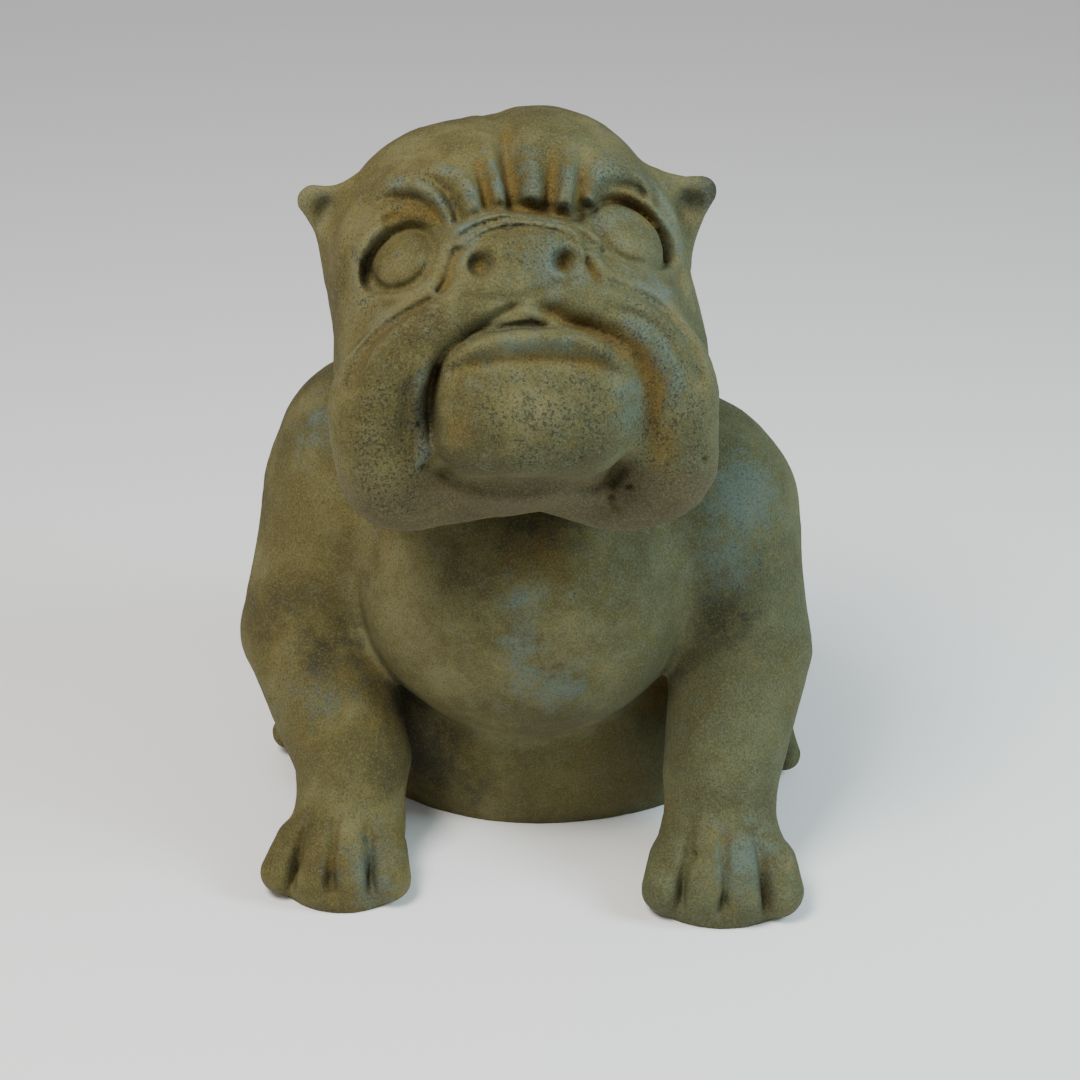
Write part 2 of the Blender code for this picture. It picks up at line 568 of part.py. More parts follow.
def main():
    for obj in list(bpy.data.objects):
        bpy.data.objects.remove(obj)
    corners, faces = statue_mesh(PITCH / HEIGHT)
    raw = bpy.data.meshes.new("raw")
    raw.from_pydata(magnified(corners).tolist(), [], faces.tolist())
    raw.update()
    rough = bpy.data.objects.new("rough", raw)
    bpy.context.scene.collection.objects.link(rough)
    mesh = thinned(rough, TRIANGLES)
    bpy.data.objects.remove(rough)
    place = np.array([v.co for v in mesh.vertices])
    mesh.vertices.foreach_set("co", magnified(place, back=True).ravel())

    work = bmesh.new()
    work.from_mesh(mesh)
    geometry = work.verts[:] + work.edges[:] + work.faces[:]
    ground = {"plane_co": (0, 0, 0), "plane_no": (0, 0, 1)}
    sliced = bmesh.ops.bisect_plane(work, geom=geometry, clear_inner=True, **ground)
    rims = [e for e in sliced["geom_cut"] if isinstance(e, bmesh.types.BMEdge)]
    bmesh.ops.holes_fill(work, edges=rims, sides=0)
    bmesh.ops.triangulate(work, faces=work.faces)
    bmesh.ops.remove_doubles(work, verts=work.verts, dist=MERGED)
    bmesh.ops.recalc_face_normals(work, faces=work.faces)
    work.to_mesh(mesh)
    work.free()

    place = np.array([v.co for v in mesh.vertices])
    middle = (place.min(0) + place.max(0)) / 2
    place = (place - (middle[0], middle[1], 0)) * HEIGHT / place[:, 2].max()
    mesh.vertices.foreach_set("co", place.ravel())
    mesh.update()

    stone = bpy.data.materials.new("cast stone")
    stone.use_nodes = True
    shader = stone.node_tree.nodes["Principled BSDF"]
    shader.inputs["Base Color"].default_value = (0.150, 0.135, 0.070, 1)
    shader.inputs["Roughness"].default_value = 0.85
    shader.inputs["Metallic"].default_value = 0.0
    mesh.materials.clear()
    mesh.materials.append(stone)
    dog = bpy.data.objects.new("bulldog", mesh)
    bpy.context.scene.collection.objects.link(dog)


if __name__ == "__main__":
    main()
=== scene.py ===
"""Looks of a seated bulldog garden statue in weathered cast stone.

The dog is carved again here at a finer pitch than the solid has, from the same forms: one function of a
point, `statue`, about the distance to its skin and negative inside. Its zero surface is meshed, given
the casting's unevenness, pits and creases as real relief, and painted by where it is hollow and by
named stains, with painted shade in its hollows and under it and painted highlights on its crests.
"""

from concurrent.futures import ThreadPoolExecutor

import bmesh
import bpy
import numpy as np
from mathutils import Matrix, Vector


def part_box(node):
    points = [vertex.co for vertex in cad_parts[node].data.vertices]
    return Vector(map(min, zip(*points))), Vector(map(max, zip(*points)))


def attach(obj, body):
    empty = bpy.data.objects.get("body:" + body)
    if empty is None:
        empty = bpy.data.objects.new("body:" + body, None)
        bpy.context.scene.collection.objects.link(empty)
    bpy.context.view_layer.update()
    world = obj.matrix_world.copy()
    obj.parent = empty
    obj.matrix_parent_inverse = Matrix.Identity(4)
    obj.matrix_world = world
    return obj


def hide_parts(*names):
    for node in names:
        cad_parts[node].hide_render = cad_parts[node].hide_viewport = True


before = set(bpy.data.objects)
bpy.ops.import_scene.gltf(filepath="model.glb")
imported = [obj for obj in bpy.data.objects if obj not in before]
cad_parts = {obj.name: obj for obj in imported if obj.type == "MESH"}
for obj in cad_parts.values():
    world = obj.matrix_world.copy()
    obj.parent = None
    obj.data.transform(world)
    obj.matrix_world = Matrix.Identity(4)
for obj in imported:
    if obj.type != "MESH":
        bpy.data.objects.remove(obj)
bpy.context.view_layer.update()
DOG_LOW, DOG_HIGH = (np.array(corner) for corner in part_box("bulldog"))
HEIGHT = DOG_HIGH[2]

# Pitch of the sampling grid in metres, and the triangles that the finished skin has.
PITCH = 0.0013
TRIANGLES = 190000

# The face, drawn out while triangles are joined so that it keeps the smaller ones
FACE_AT = (0.01, -0.36, 0.82)
FACE_REACH = 0.24

# Middle of the head, and the degrees that it is turned to the dog's left
HEAD_AT = np.array((0.0, -0.20, 0.80))
HEAD_YAW = 10.5

SIDES = (-1, 1)


def turned(yaw=0.0, pitch=0.0):
    """Rotation matrix: pitch about X, then yaw about Z, in degrees."""
    a, b = np.radians((yaw, pitch))
    about_z = np.array(((np.cos(a), -np.sin(a), 0), (np.sin(a), np.cos(a), 0), (0, 0, 1)))
    about_x = np.array(((1, 0, 0), (0, np.cos(b), -np.sin(b)), (0, np.sin(b), np.cos(b))))
    return about_z @ about_x


def ellipsoid(p, centre, radii, turn=None):
    """Distance to an ellipsoid: its scaled radius, less one, over the gradient of that radius."""
    q = p - np.array(centre)
    if turn is not None:
        q = q @ turn
    q = q / np.array(radii)
    length = np.sqrt((q * q).sum(1)) + 1e-9
    slope = np.sqrt(((q / np.array(radii)) ** 2).sum(1)) + 1e-9
    return length * (length - 1) / slope


def limb(p, points, radii):
    """Distance to a chain of round cones: to each segment, less a radius that runs from end to end."""
    found = np.full(len(p), np.inf)
    for a, b, ra, rb in zip(points[:-1], points[1:], radii[:-1], radii[1:]):
        a, b = np.array(a, float), np.array(b, float)
        along = b - a
        t = np.clip((p - a) @ along / (along @ along), 0, 1)
        gap = np.sqrt(((p - a - t[:, None] * along) ** 2).sum(1)) - (ra + t * (rb - ra))
        found = np.minimum(found, gap)
    return found


def rounded_box(p, centre, half, rounding):
    """Distance to a box with round edges: to the shrunken box, less the rounding."""
    q = np.abs(p - np.array(centre)) - (np.array(half) - rounding)
    outside = np.sqrt((np.maximum(q, 0) ** 2).sum(1))
    return outside + np.minimum(q.max(1), 0) - rounding


def blend(a, b, k):
    """Soft union: the lesser distance, less a parabola where the two are within k of each other."""
    h = np.maximum(k - np.abs(a - b), 0) / k
    return np.minimum(a, b) - h * h * k / 4


def cut(a, b, k):
    """Soft difference: a, with the inside of b taken away and the edge rounded over k."""
    return -blend(-a, b, k)


def curve(points, steps=5):
    """Smooth line through the points, each span bent as a Catmull-Rom cubic and cut in short pieces."""
    c = np.array(points, float)
    c = np.vstack((2 * c[:1] - c[1:2], c, 2 * c[-1:] - c[-2:-1]))
    t = np.linspace(0, 1, steps + 1)[:-1, None]
    a, b, d, e = (c[k : len(c) - 3 + k, None] for k in range(4))
    bent = 0.5 * (2 * b + (d - a) * t + (2 * a - 5 * b + 4 * d - e) * t**2 + (3 * b - a - 3 * d + e) * t**3)
    return np.vstack((bent.reshape(-1, c.shape[1]), c[-2:-1]))


def line_gap(flat, points):
    """Distance from flat places to a bent line, and how far along it, from 0 to 1, the nearest lies."""
    line = curve(points)
    best = np.full(len(flat), np.inf)
    along = np.zeros(len(flat))
    spans = len(line) - 1
    for n, (a, b) in enumerate(zip(line[:-1], line[1:])):
        run = b - a
        t = np.clip((flat - a) @ run / (run @ run), 0, 1)
        gap = ((flat - a - t[:, None] * run) ** 2).sum(1)
        closer = gap < best
        best[closer] = gap[closer]
        along[closer] = (n + t[closer]) / spans
    return np.sqrt(best), along


def carved(f, flat, lines, weight=1.0, fade_in=0.1, fade_out=0.1):
    """Sinks lines into f: each is its depth times exp(-(gap / width) squared), and fades in and out over
    those shares of its length. The deepest line counts, and a depth below zero raises a fold."""
    sunk = np.zeros(len(f))
    raised = np.zeros(len(f))
    for depth, width, points in lines:
        low, high = np.min(points, 0) - 3 * width, np.max(points, 0) + 3 * width
        near = np.flatnonzero(((flat > low) & (flat < high)).all(1))
        if len(near):
            gap, along = line_gap(flat[near], points)
            fade = np.minimum(along / fade_in + 0.2, (1 - along) / fade_out)
            change = depth * np.clip(fade, 0, 1) * np.exp(-((gap / width) ** 2))
            sunk[near] = np.maximum(sunk[near], change)
            raised[near] = np.minimum(raised[near], change)
    return f + (sunk + raised) * weight


def step(value, start, end):
    """Smooth step from 0 at start to 1 at end."""
    t = np.clip((value - start) / (end - start), 0, 1)
    return t * t * (3 - 2 * t)


# Depth, width and place (across, up) of the lines sunk in the back: neck rolls, shoulders and spine.
BACK_LINES = (
    (0.012, 0.020, ((-0.230, 0.700), (-0.120, 0.775), (0.000, 0.795), (0.120, 0.775), (0.230, 0.700))),
    (0.010, 0.022, ((-0.220, 0.610), (-0.110, 0.680), (0.000, 0.700), (0.110, 0.680), (0.220, 0.610))),
    (0.014, 0.030, ((0.000, 0.640), (0.000, 0.480), (0.000, 0.300), (0.000, 0.180))),
)


def torso(p):
    """Barrel, neck, shoulders and rump as a soft union of ellipsoids, with the back's lines and a tail."""
    f = ellipsoid(p, (0, 0.0, 0.395), (0.262, 0.215, 0.265), turned(pitch=25))
    f = blend(f, ellipsoid(p, (0, 0.08, 0.24), (0.25, 0.24, 0.24)), 0.10)
    f = blend(f, limb(p, ((-0.016, 0.0, 0.54), (-0.012, -0.12, 0.76)), (0.18, 0.19)), 0.06)
    f = blend(f, ellipsoid(p, (-0.225, -0.03, 0.45), (0.125, 0.15, 0.17)), 0.07)
    f = blend(f, ellipsoid(p, (0.224, -0.03, 0.410), (0.125, 0.15, 0.16)), 0.07)
    f = blend(f, ellipsoid(p, (0, 0.20, 0.17), (0.22, 0.18, 0.19)), 0.08)
    f = carved(f, p[:, [0, 2]], BACK_LINES, step(p[:, 1], 0.0, 0.06), 0.25, 0.25)
    tail = ((0.0, 0.33, 0.10), (0.012, 0.375, 0.125), (0.030, 0.375, 0.155))
    return blend(f, limb(p, tail, (0.045, 0.030, 0.018)), 0.02)


def chest_and_belly(p):
    """The chest's bulge and, below it, the belly that spreads out on the ground."""
    f = ellipsoid(p, (0, -0.155, 0.360), (0.215, 0.15, 0.205))
    belly = ellipsoid(p, (0.0, 0.0, 0.14), (0.24, 0.20, 0.20))
    belly = blend(belly, ellipsoid(p, (0.0, 0.06, 0.03), (0.30, 0.215, 0.11)), 0.05)
    return blend(f, belly, 0.03)


# Toes of each paw, and the degrees from one to the next
TOES = 4
TOE_FAN = 15


def paw(p, ankle, splay, span, reach):
    """Toes fanned from the ankle, with a groove between each two. A toe is a chain of two round cones, and
    all of them end in one low, smooth pad on the ground."""
    f = ellipsoid(p, ankle + np.array((0, -0.03, -0.010)), (span * 0.47, 0.085, 0.062))
    grooves = []
    for n in range(TOES):
        place = n - (TOES - 1) / 2
        lean = np.radians(splay + place * TOE_FAN)
        far = reach * (1 - 0.06 * abs(place))
        way = np.array((np.sin(lean), -np.cos(lean), 0))
        across = np.array((place * span * 0.15, 0, 0))
        knuckle = ankle + across + way * far * 0.60 + np.array((0, 0, 0.056 - ankle[2]))
        tip = ankle + across + way * far + np.array((0, 0, 0.032 - ankle[2]))
        toe = limb(p, (ankle, knuckle, tip), (span * 0.20, span * 0.205, span * 0.185))
        f = blend(f, toe, 0.010)
        if n < TOES - 1:
            place = place + 0.5
            lean = np.radians(splay + place * TOE_FAN)
            way = np.array((np.sin(lean), -np.cos(lean)))
            start = ankle[:2] + (place * span * 0.15, 0)
            grooves.append((0.010, 0.007, (start + way * reach * 0.5, start + way * reach * 1.5)))
    f = carved(f, p[:, :2], grooves, step(p[:, 2], 0.014, 0.034), 0.25, 0.02)
    base = ellipsoid(p, (ankle[0], ankle[1] - reach * 0.42, 0.010), (span * 0.54, reach * 0.86, 0.036))
    return blend(f, base, 0.010)


def haunches(p):
    """On each side, a thigh of three ellipsoids blended into its hind paw."""
    f = np.full(len(p), np.inf)
    for s in SIDES:
        thigh = ellipsoid(p, (s * 0.235, 0.12, 0.20), (0.13, 0.20, 0.18), turned(pitch=-15))
        thigh = blend(thigh, ellipsoid(p, (s * 0.285, 0.0, 0.15), (0.083, 0.09, 0.12)), 0.05)
        thigh = blend(thigh, ellipsoid(p, (s * 0.270, 0.12, 0.06), (0.090, 0.13, 0.09)), 0.04)
        foot = paw(p, np.array((s * 0.288, 0.065, 0.045)), s * 6, 0.125, 0.085)
        f = np.minimum(f, blend(thigh, foot, 0.02))
    return f


# Each foreleg: where its elbow and its foot stand to the side, the paw's width and the toes' length.
FORELEGS = {-1: (0.292, 0.223, 0.156, 0.100), 1: (0.287, 0.268, 0.176, 0.094)}


def foreleg(p, s):
    """A chain of round cones from shoulder to ankle, blended into its paw."""
    elbow, foot, span, reach = FORELEGS[s]
    ankle = np.array((s * foot, -0.268, 0.062))
    wrist = (s * (foot - 0.003), -0.235, 0.14)
    bones = ((s * 0.255, -0.06, 0.44), (s * elbow, -0.125, 0.27), wrist, ankle)
    f = limb(p, bones, (0.095, 0.092, 0.076, 0.068))
    return blend(f, paw(p, ankle, s * 4, span, reach), 0.03)


# Place (across, back) of the shallow line over the crown, where the left half of the skull stands lower
CROWN_LINE = ((-0.020, -0.16), (-0.022, -0.06), (-0.024, 0.04), (-0.020, 0.14))


def head_mass(q):
    """Skull and cheeks in the head's upright frame: -Y is the way it looks."""
    f = ellipsoid(q, (-0.035, 0.06, 0.023), (0.193, 0.17, 0.160))
    f = blend(f, ellipsoid(q, (0.028, 0.06, 0.024), (0.160, 0.17, 0.170)), 0.02)
    f = carved(f, q[:, [0, 1]], ((0.008, 0.014, CROWN_LINE),), step(q[:, 2], 0.10, 0.15))
    for s in SIDES:
        f = blend(f, ellipsoid(q, (s * 0.118, 0.0, -0.08), (0.103, 0.14, 0.16)), 0.06)
        f = blend(f, ellipsoid(q, (s * 0.128, -0.065, -0.120), (0.088, 0.105, 0.135)), 0.05)
    f = blend(f, ellipsoid(q, (0, -0.085, 0.02), (0.17, 0.09, 0.085)), 0.04)
    f = blend(f, ellipsoid(q, (0.0, -0.105, -0.185), (0.125, 0.085, 0.050)), 0.03)
    chin = rounded_box(q, (0.002, -0.122, -0.098), (0.122, 0.103, 0.080), 0.062)
    chin = blend(chin, ellipsoid(q, (0.002, -0.150, -0.100), (0.112, 0.090, 0.068)), 0.03)
    return blend(f, chin, 0.020)


# The face is laid out on a plane across the muzzle that leans back by FACE_LEAN degrees. Places on it
# are (across, up) in shares of the height, from the middle of the head.
FACE_LEAN = 25
LIP_LEFT = ((-0.012, -0.022), (-0.070, -0.038), (-0.122, -0.062), (-0.160, -0.096), (-0.182, -0.140))
LIP_RIGHT = ((-0.012, -0.022), (0.054, -0.034), (0.104, -0.055), (0.145, -0.090), (0.165, -0.134))
LIP_EDGE = (
    (-0.010, -0.036), (-0.045, -0.054), (-0.082, -0.076), (-0.108, -0.099), (-0.121, -0.140),
    (-0.121, -0.195),
)
LIP_VALLEY = (
    (0.000, -0.042), (0.040, -0.058), (0.080, -0.074), (0.113, -0.096), (0.137, -0.130), (0.142, -0.165),
    (0.134, -0.215),
)
MOUTH = ((-0.078, -0.076), (-0.045, -0.065), (0.002, -0.063), (0.047, -0.068))
LOWER_LIP = ((-0.090, -0.091), (-0.045, -0.080), (0.000, -0.078), (0.050, -0.081), (0.094, -0.100))
CHIN_TOP = ((-0.110, -0.113), (-0.055, -0.103), (0.005, -0.101), (0.062, -0.109), (0.104, -0.128))
CHIN_LOW = ((-0.116, -0.215), (-0.075, -0.243), (0.012, -0.250), (0.085, -0.243), (0.121, -0.215))
STOP = ((-0.024, 0.079), (-0.004, 0.076), (0.022, 0.069), (0.053, 0.064), (0.070, 0.070), (0.078, 0.086))
NOSE_RIM = (
    (-0.088, 0.044), (-0.066, 0.058), (-0.030, 0.067), (0.005, 0.066), (0.040, 0.058), (0.069, 0.043),
    (0.085, 0.018),
)
INNER_RIM = (
    (-0.080, 0.032), (-0.057, 0.047), (-0.028, 0.056), (0.002, 0.056), (0.038, 0.048), (0.056, 0.033),
    (0.062, 0.000),
)
NOSE_DIP = (
    (-0.084, 0.018), (-0.070, 0.034), (-0.048, 0.044), (-0.020, 0.047), (0.010, 0.046), (0.035, 0.038),
    (0.050, 0.020),
)
NOSE_WING = ((-0.080, 0.034), (-0.088, 0.011), (-0.097, -0.010), (-0.110, -0.026))
NOSE_SLIT = ((0.062, 0.012), (0.070, -0.002), (0.080, -0.022))
NOSE_FOOT = (
    (-0.100, -0.026), (-0.062, -0.031), (-0.022, -0.034), (0.013, -0.024), (0.054, -0.014), (0.080, -0.017),
)
LID_LEFT = ((-0.166, 0.066), (-0.135, 0.071), (-0.100, 0.055))
LID_RIGHT = ((0.075, 0.087), (0.090, 0.095), (0.109, 0.102), (0.135, 0.101), (0.150, 0.084))
CHEEK_LEFT = ((-0.099, -0.025), (-0.142, -0.045), (-0.177, -0.068), (-0.202, -0.095), (-0.213, -0.140))
CHEEK_RIGHT = ((0.079, -0.014), (0.127, -0.032), (0.161, -0.060), (0.183, -0.100), (0.197, -0.150))
TEMPLE_LEFT = ((-0.178, 0.104), (-0.197, 0.062), (-0.207, 0.025), (-0.210, -0.020))
TEMPLE_RIGHT = ((0.149, 0.134), (0.162, 0.092), (0.175, 0.047), (0.182, 0.000), (0.186, -0.040))
NOSTRILS = ((-0.057, 0.008), (0.038, 0.009))
BROW = (
    (-0.202, -0.010), (-0.196, 0.050), (-0.164, 0.096), (-0.110, 0.112), (-0.060, 0.100), (0.000, 0.096),
    (0.060, 0.096), (0.095, 0.114), (0.130, 0.116), (0.160, 0.095), (0.177, 0.055), (0.182, 0.000),
)

# Eyes: side, middle of the ball, half its length, and its width over its length. The ball leans down
# to its outer corner by EYE_LEAN degrees.
EYES = ((-1, (-0.145, 0.022), 0.041, 0.76), (1, (0.125, 0.042), 0.051, 0.68))
EYE_LEAN = 40
BOWL_DEPTH, DOME_RISE = 0.015, 0.016
UPPER_LID_RISE, LOWER_LID_RISE = 0.007, 0.005

# Depth of the line between ball and upper lid, by side
LID_LINE_DEPTH = {-1: 0.003, 1: 0.008}


def lips(q):
    """The two hanging lips. Each is a roll from under the nose down its side and in under the chin: two
    chains of cones, set side by side along one path so that the front is broad and rather flat."""
    f = np.full(len(q), np.inf)
    thick = np.array((0.012, 0.022, 0.035, 0.045, 0.052, 0.055, 0.053, 0.045, 0.034))
    for s, top in ((-1, LIP_LEFT), (1, LIP_RIGHT)):
        front = (-0.160, -0.150, -0.136, -0.117, -0.095)
        path = [(x, y, z) for (x, z), y in zip(top, front)]
        path += [(s * 0.172 - 0.006, -0.066, -0.190), (s * 0.164, -0.034, -0.236)]
        path += [(s * 0.100, -0.012, -0.250 - s * 0.008), (0.012 + s * 0.01, -0.004, -0.240)]
        roll = curve(np.column_stack((path, thick)), 4)
        middle, radius = roll[:, :3], roll[:, 3:]
        along = np.gradient(middle, axis=0)
        beside = np.stack((-along[:, 2], 0 * along[:, 1], along[:, 0]), 1)
        beside = 0.31 * radius * beside / np.sqrt((beside**2).sum(1))[:, None]
        middle = middle - (0, 1, 0) * radius * 0.26
        pair = [limb(q, middle + way * beside, 0.72 * radius[:, 0]) for way in SIDES]
        f = np.minimum(f, blend(*pair, 0.03))
    return f


def eyes(f, q):
    """Each eye is a low dome in a sunk bowl, under a crisp lid line. `ring` is 1 at the dome's edge."""
    front = step(q[:, 1], 0.0, -0.05)
    for s, (x, z), half, squat in EYES:
        lean = np.radians(-s * EYE_LEAN)
        a = (q[:, 0] - x) * np.cos(lean) + (q[:, 2] - z) * np.sin(lean)
        b = -(q[:, 0] - x) * np.sin(lean) + (q[:, 2] - z) * np.cos(lean)
        ring = np.sqrt((a / half) ** 2 + (b / (half * squat)) ** 2)
        f = f + BOWL_DEPTH * front * (1 - step(ring, 0.9, 1.8))
        f = f - DOME_RISE * front * np.clip(1 - ring**2 / 1.1, 0, 1)
        away = (ring - 1) * half * 0.85
        upper = step(b, -0.020, 0.010)
        f = f + LID_LINE_DEPTH[s] * front * upper * np.exp(-((away - 0.001) / 0.005) ** 2)
        f = f - UPPER_LID_RISE * front * upper * np.exp(-((away - 0.013) / 0.007) ** 2)
        f = f - LOWER_LID_RISE * front * (1 - upper) * np.exp(-((away - 0.007) / 0.006) ** 2)
    return f


def nose(f, q):
    """A broad low ellipsoid with raised rims, a dip inside them and a hollow for each nostril."""
    f = blend(f, ellipsoid(q, (-0.008, -0.126, 0.014), (0.084, 0.057, 0.047)), 0.014)
    front = step(q[:, 1], -0.02, -0.08)
    lines = ((-0.008, 0.005, NOSE_RIM), (-0.006, 0.0045, INNER_RIM), (0.0035, 0.007, NOSE_DIP))
    f = carved(f, q[:, [0, 2]], lines, front)
    for x, z in NOSTRILS:
        gap = ((q[:, 0] - x) ** 2 + (q[:, 2] - z) ** 2) / 0.015**2
        f = f - 0.004 * front * np.exp(-gap / 3)
        f = f + 0.017 * front * np.exp(-(gap**2))
    return f


# Depth, width and place of each line, from its top or its inner end. A depth below zero raises a fold.
BROW_FOLDS = (
    (0.010, 0.009, ((-0.180, 0.080), (-0.163, 0.094), (-0.128, 0.093), (-0.105, 0.076), (-0.091, 0.052))),
    (0.012, 0.009, ((-0.125, 0.115), (-0.093, 0.102), (-0.081, 0.078), (-0.076, 0.056))),
    (0.013, 0.009, ((-0.054, 0.145), (-0.047, 0.106), (-0.042, 0.070))),
    (0.015, 0.011, ((-0.010, 0.195), (-0.014, 0.133), (-0.013, 0.076))),
    (0.015, 0.010, ((0.040, 0.155), (0.031, 0.106), (0.025, 0.070))),
    (0.014, 0.009, ((0.075, 0.140), (0.067, 0.098), (0.060, 0.066))),
    (-0.007, 0.010, ((-0.165, 0.110), (-0.150, 0.113), (-0.119, 0.106), (-0.098, 0.087), (-0.080, 0.057))),
    (-0.009, 0.010, ((-0.109, 0.130), (-0.080, 0.120), (-0.064, 0.096), (-0.058, 0.066))),
    (-0.008, 0.009, ((-0.036, 0.150), (-0.031, 0.112), (-0.027, 0.078))),
    (-0.006, 0.014, ((0.010, 0.165), (0.008, 0.115), (0.006, 0.080))),
    (-0.009, 0.010, ((0.060, 0.145), (0.051, 0.105), (0.043, 0.072))),
)
FACE_LINES = (
    (0.018, 0.009, STOP),
    (0.010, 0.009, LIP_EDGE),
    (0.010, 0.013, LIP_VALLEY),
    (0.005, 0.005, MOUTH),
    (-0.009, 0.010, LOWER_LIP),
    (0.006, 0.009, CHIN_TOP),
    (0.008, 0.010, CHIN_LOW),
    (0.011, 0.007, NOSE_WING),
    (0.009, 0.006, NOSE_SLIT),
    (0.004, 0.008, NOSE_FOOT),
    (0.006, 0.010, LID_LEFT),
    (0.008, 0.007, LID_RIGHT),
    (0.010, 0.008, CHEEK_LEFT),
    (0.009, 0.008, CHEEK_RIGHT),
    (0.007, 0.009, TEMPLE_LEFT),
    (0.007, 0.009, TEMPLE_RIGHT),
)


# Middle of the lower lip's roll, as (across, back, up) in the face's frame
LOWER_LIP_ROLL = (
    (-0.085, -0.152, -0.098), (-0.030, -0.166, -0.088), (0.040, -0.166, -0.089), (0.092, -0.152, -0.108),
)
LOWER_LIP_RADIUS = 0.022


def head(p):
    """The head's mass, turned to one side. Brow, eyes, lips, nose and lines are worked on the face's
    plane, and the ears are added last."""
    turn = turned(yaw=HEAD_YAW)
    f = head_mass((p - HEAD_AT) @ turn)
    q = (p - HEAD_AT) @ turn @ turned(pitch=-FACE_LEAN)
    flat = q[:, [0, 2]]
    front = step(q[:, 1], 0.0, -0.05)
    f = carved(f, flat, ((-0.014, 0.030, BROW),), front)
    f = carved(f, flat, BROW_FOLDS, front, 0.5, 0.12)
    f = eyes(f, q)
    roll = curve(LOWER_LIP_ROLL, 3)
    f = blend(f, limb(q, roll, [LOWER_LIP_RADIUS] * len(roll)), 0.035)
    f = blend(f, ellipsoid(q, (-0.004, -0.150, -0.053), (0.068, 0.027, 0.020)), 0.010)
    f = blend(f, lips(q), 0.028)
    f = nose(f, q)
    f = carved(f, flat, FACE_LINES, front)
    return blend(f, ears((p - HEAD_AT) @ turn), 0.02)


# Each ear's tip, and the upper and lower end of its root, as (across, up) from the middle of the head
EARS = (
    ((-0.243, 0.095), (-0.190, 0.088), (-0.192, 0.026)),
    ((0.226, 0.090), (0.175, 0.086), (0.180, 0.018)),
)


def ears(q):
    """Small flaps that stand out from the sides of the skull, cupped on the front: three flattened cones
    from the root to the tip."""
    f = np.full(len(q), np.inf)
    flat = (q - np.array((0, 0.05, 0))) * np.array((1, 2.0, 1))
    for tip, top, low in EARS:
        halfway = ((top[0] + low[0]) / 2, (top[1] + low[1]) / 2)
        for root, radius in ((top, 0.034), (halfway, 0.042), (low, 0.040)):
            ends = [(x, 0, z) for x, z in (root, tip)]
            f = blend(f, limb(flat, ends, (radius, 0.014)) * 0.6, 0.01)
        bowl = ellipsoid(q, (tip[0] * 0.93, 0.026, tip[1] - 0.014), (0.020, 0.026, 0.024))
        f = cut(f, bowl, 0.012)
    return f


def within(p, centre, reach, form):
    """The form near it, inside a ball it fits in; farther off, the distance to a slightly smaller ball."""
    gap = np.sqrt(((p - np.array(centre)) ** 2).sum(1))
    f = gap - reach + 0.06
    near = gap < reach
    f[near] = form(p[near])
    return f


def statue(p):
    """About the distance from p, in shares of the height, to the dog's skin, negative inside."""
    f = torso(p)
    f = blend(f, chest_and_belly(p), 0.03)
    f = blend(f, haunches(p), 0.03)
    for s in SIDES:
        f = blend(f, within(p, (s * 0.26, -0.20, 0.23), 0.42, lambda near: foreleg(near, s)), 0.03)
    f = blend(f, within(p, (0, -0.19, 0.76), 0.41, head), 0.03)
    return np.maximum(f, -0.012 - p[:, 2])


# Points worked out at one go, and the value given to a place that is made an inside one
SLICE = 20000
JUST_INSIDE = -1e-5


def sampled(field, points):
    """The field at many points, worked out in slices on all cores."""
    slices = np.array_split(points, max(1, len(points) // SLICE))
    with ThreadPoolExecutor() as pool:
        return np.concatenate(list(pool.map(field, slices)))


def joined(value):
    """Changes the grid so that inside and outside never meet only corner to corner, on a grid square or
    across a cell: there the outside value nearest zero is made an inside one. This is done over again
    until no such place is left, 30 times at most."""
    corner = np.stack(np.meshgrid((0, 1), (0, 1), (0, 1), indexing="ij"), -1).reshape(-1, 3)
    for _ in range(30):
        crossed = value[:-1, :-1, :-1] < 0
        mixed = np.zeros(crossed.shape, bool)
        for x, y, z in corner[1:]:
            there = value[x : x + crossed.shape[0], y : y + crossed.shape[1], z : z + crossed.shape[2]] < 0
            mixed |= there != crossed
        cells = np.argwhere(mixed)
        places = cells[:, None] + corner
        held = value[places[..., 0], places[..., 1], places[..., 2]]
        within_it = held < 0
        turn = []
        for axis in range(3):
            for side in (0, 1):
                ring = [n for n in range(8) if corner[n][axis] == side]
                for pair, other in ((ring[0::3], ring[1:3]), (ring[1:3], ring[0::3])):
                    bad = within_it[:, pair].all(1) & ~within_it[:, other].any(1)
                    turn.append(places[bad][:, other][np.arange(bad.sum()), held[bad][:, other].argmin(1)])
        for n in range(4):
            pair = [n, 7 - n]
            rest = [m for m in range(8) if m not in pair]
            lone = within_it[:, pair].all(1) & ~within_it[:, rest].any(1)
            turn.append(places[lone][:, rest][np.arange(lone.sum()), held[lone][:, rest].argmin(1)])
            hole = ~within_it[:, pair].any(1) & within_it[:, rest].all(1)
            turn.append(places[hole][:, pair][np.arange(hole.sum()), held[hole][:, pair].argmin(1)])
        turn = np.concatenate(turn)
        if not len(turn):
            return
        value[tuple(turn.T)] = JUST_INSIDE


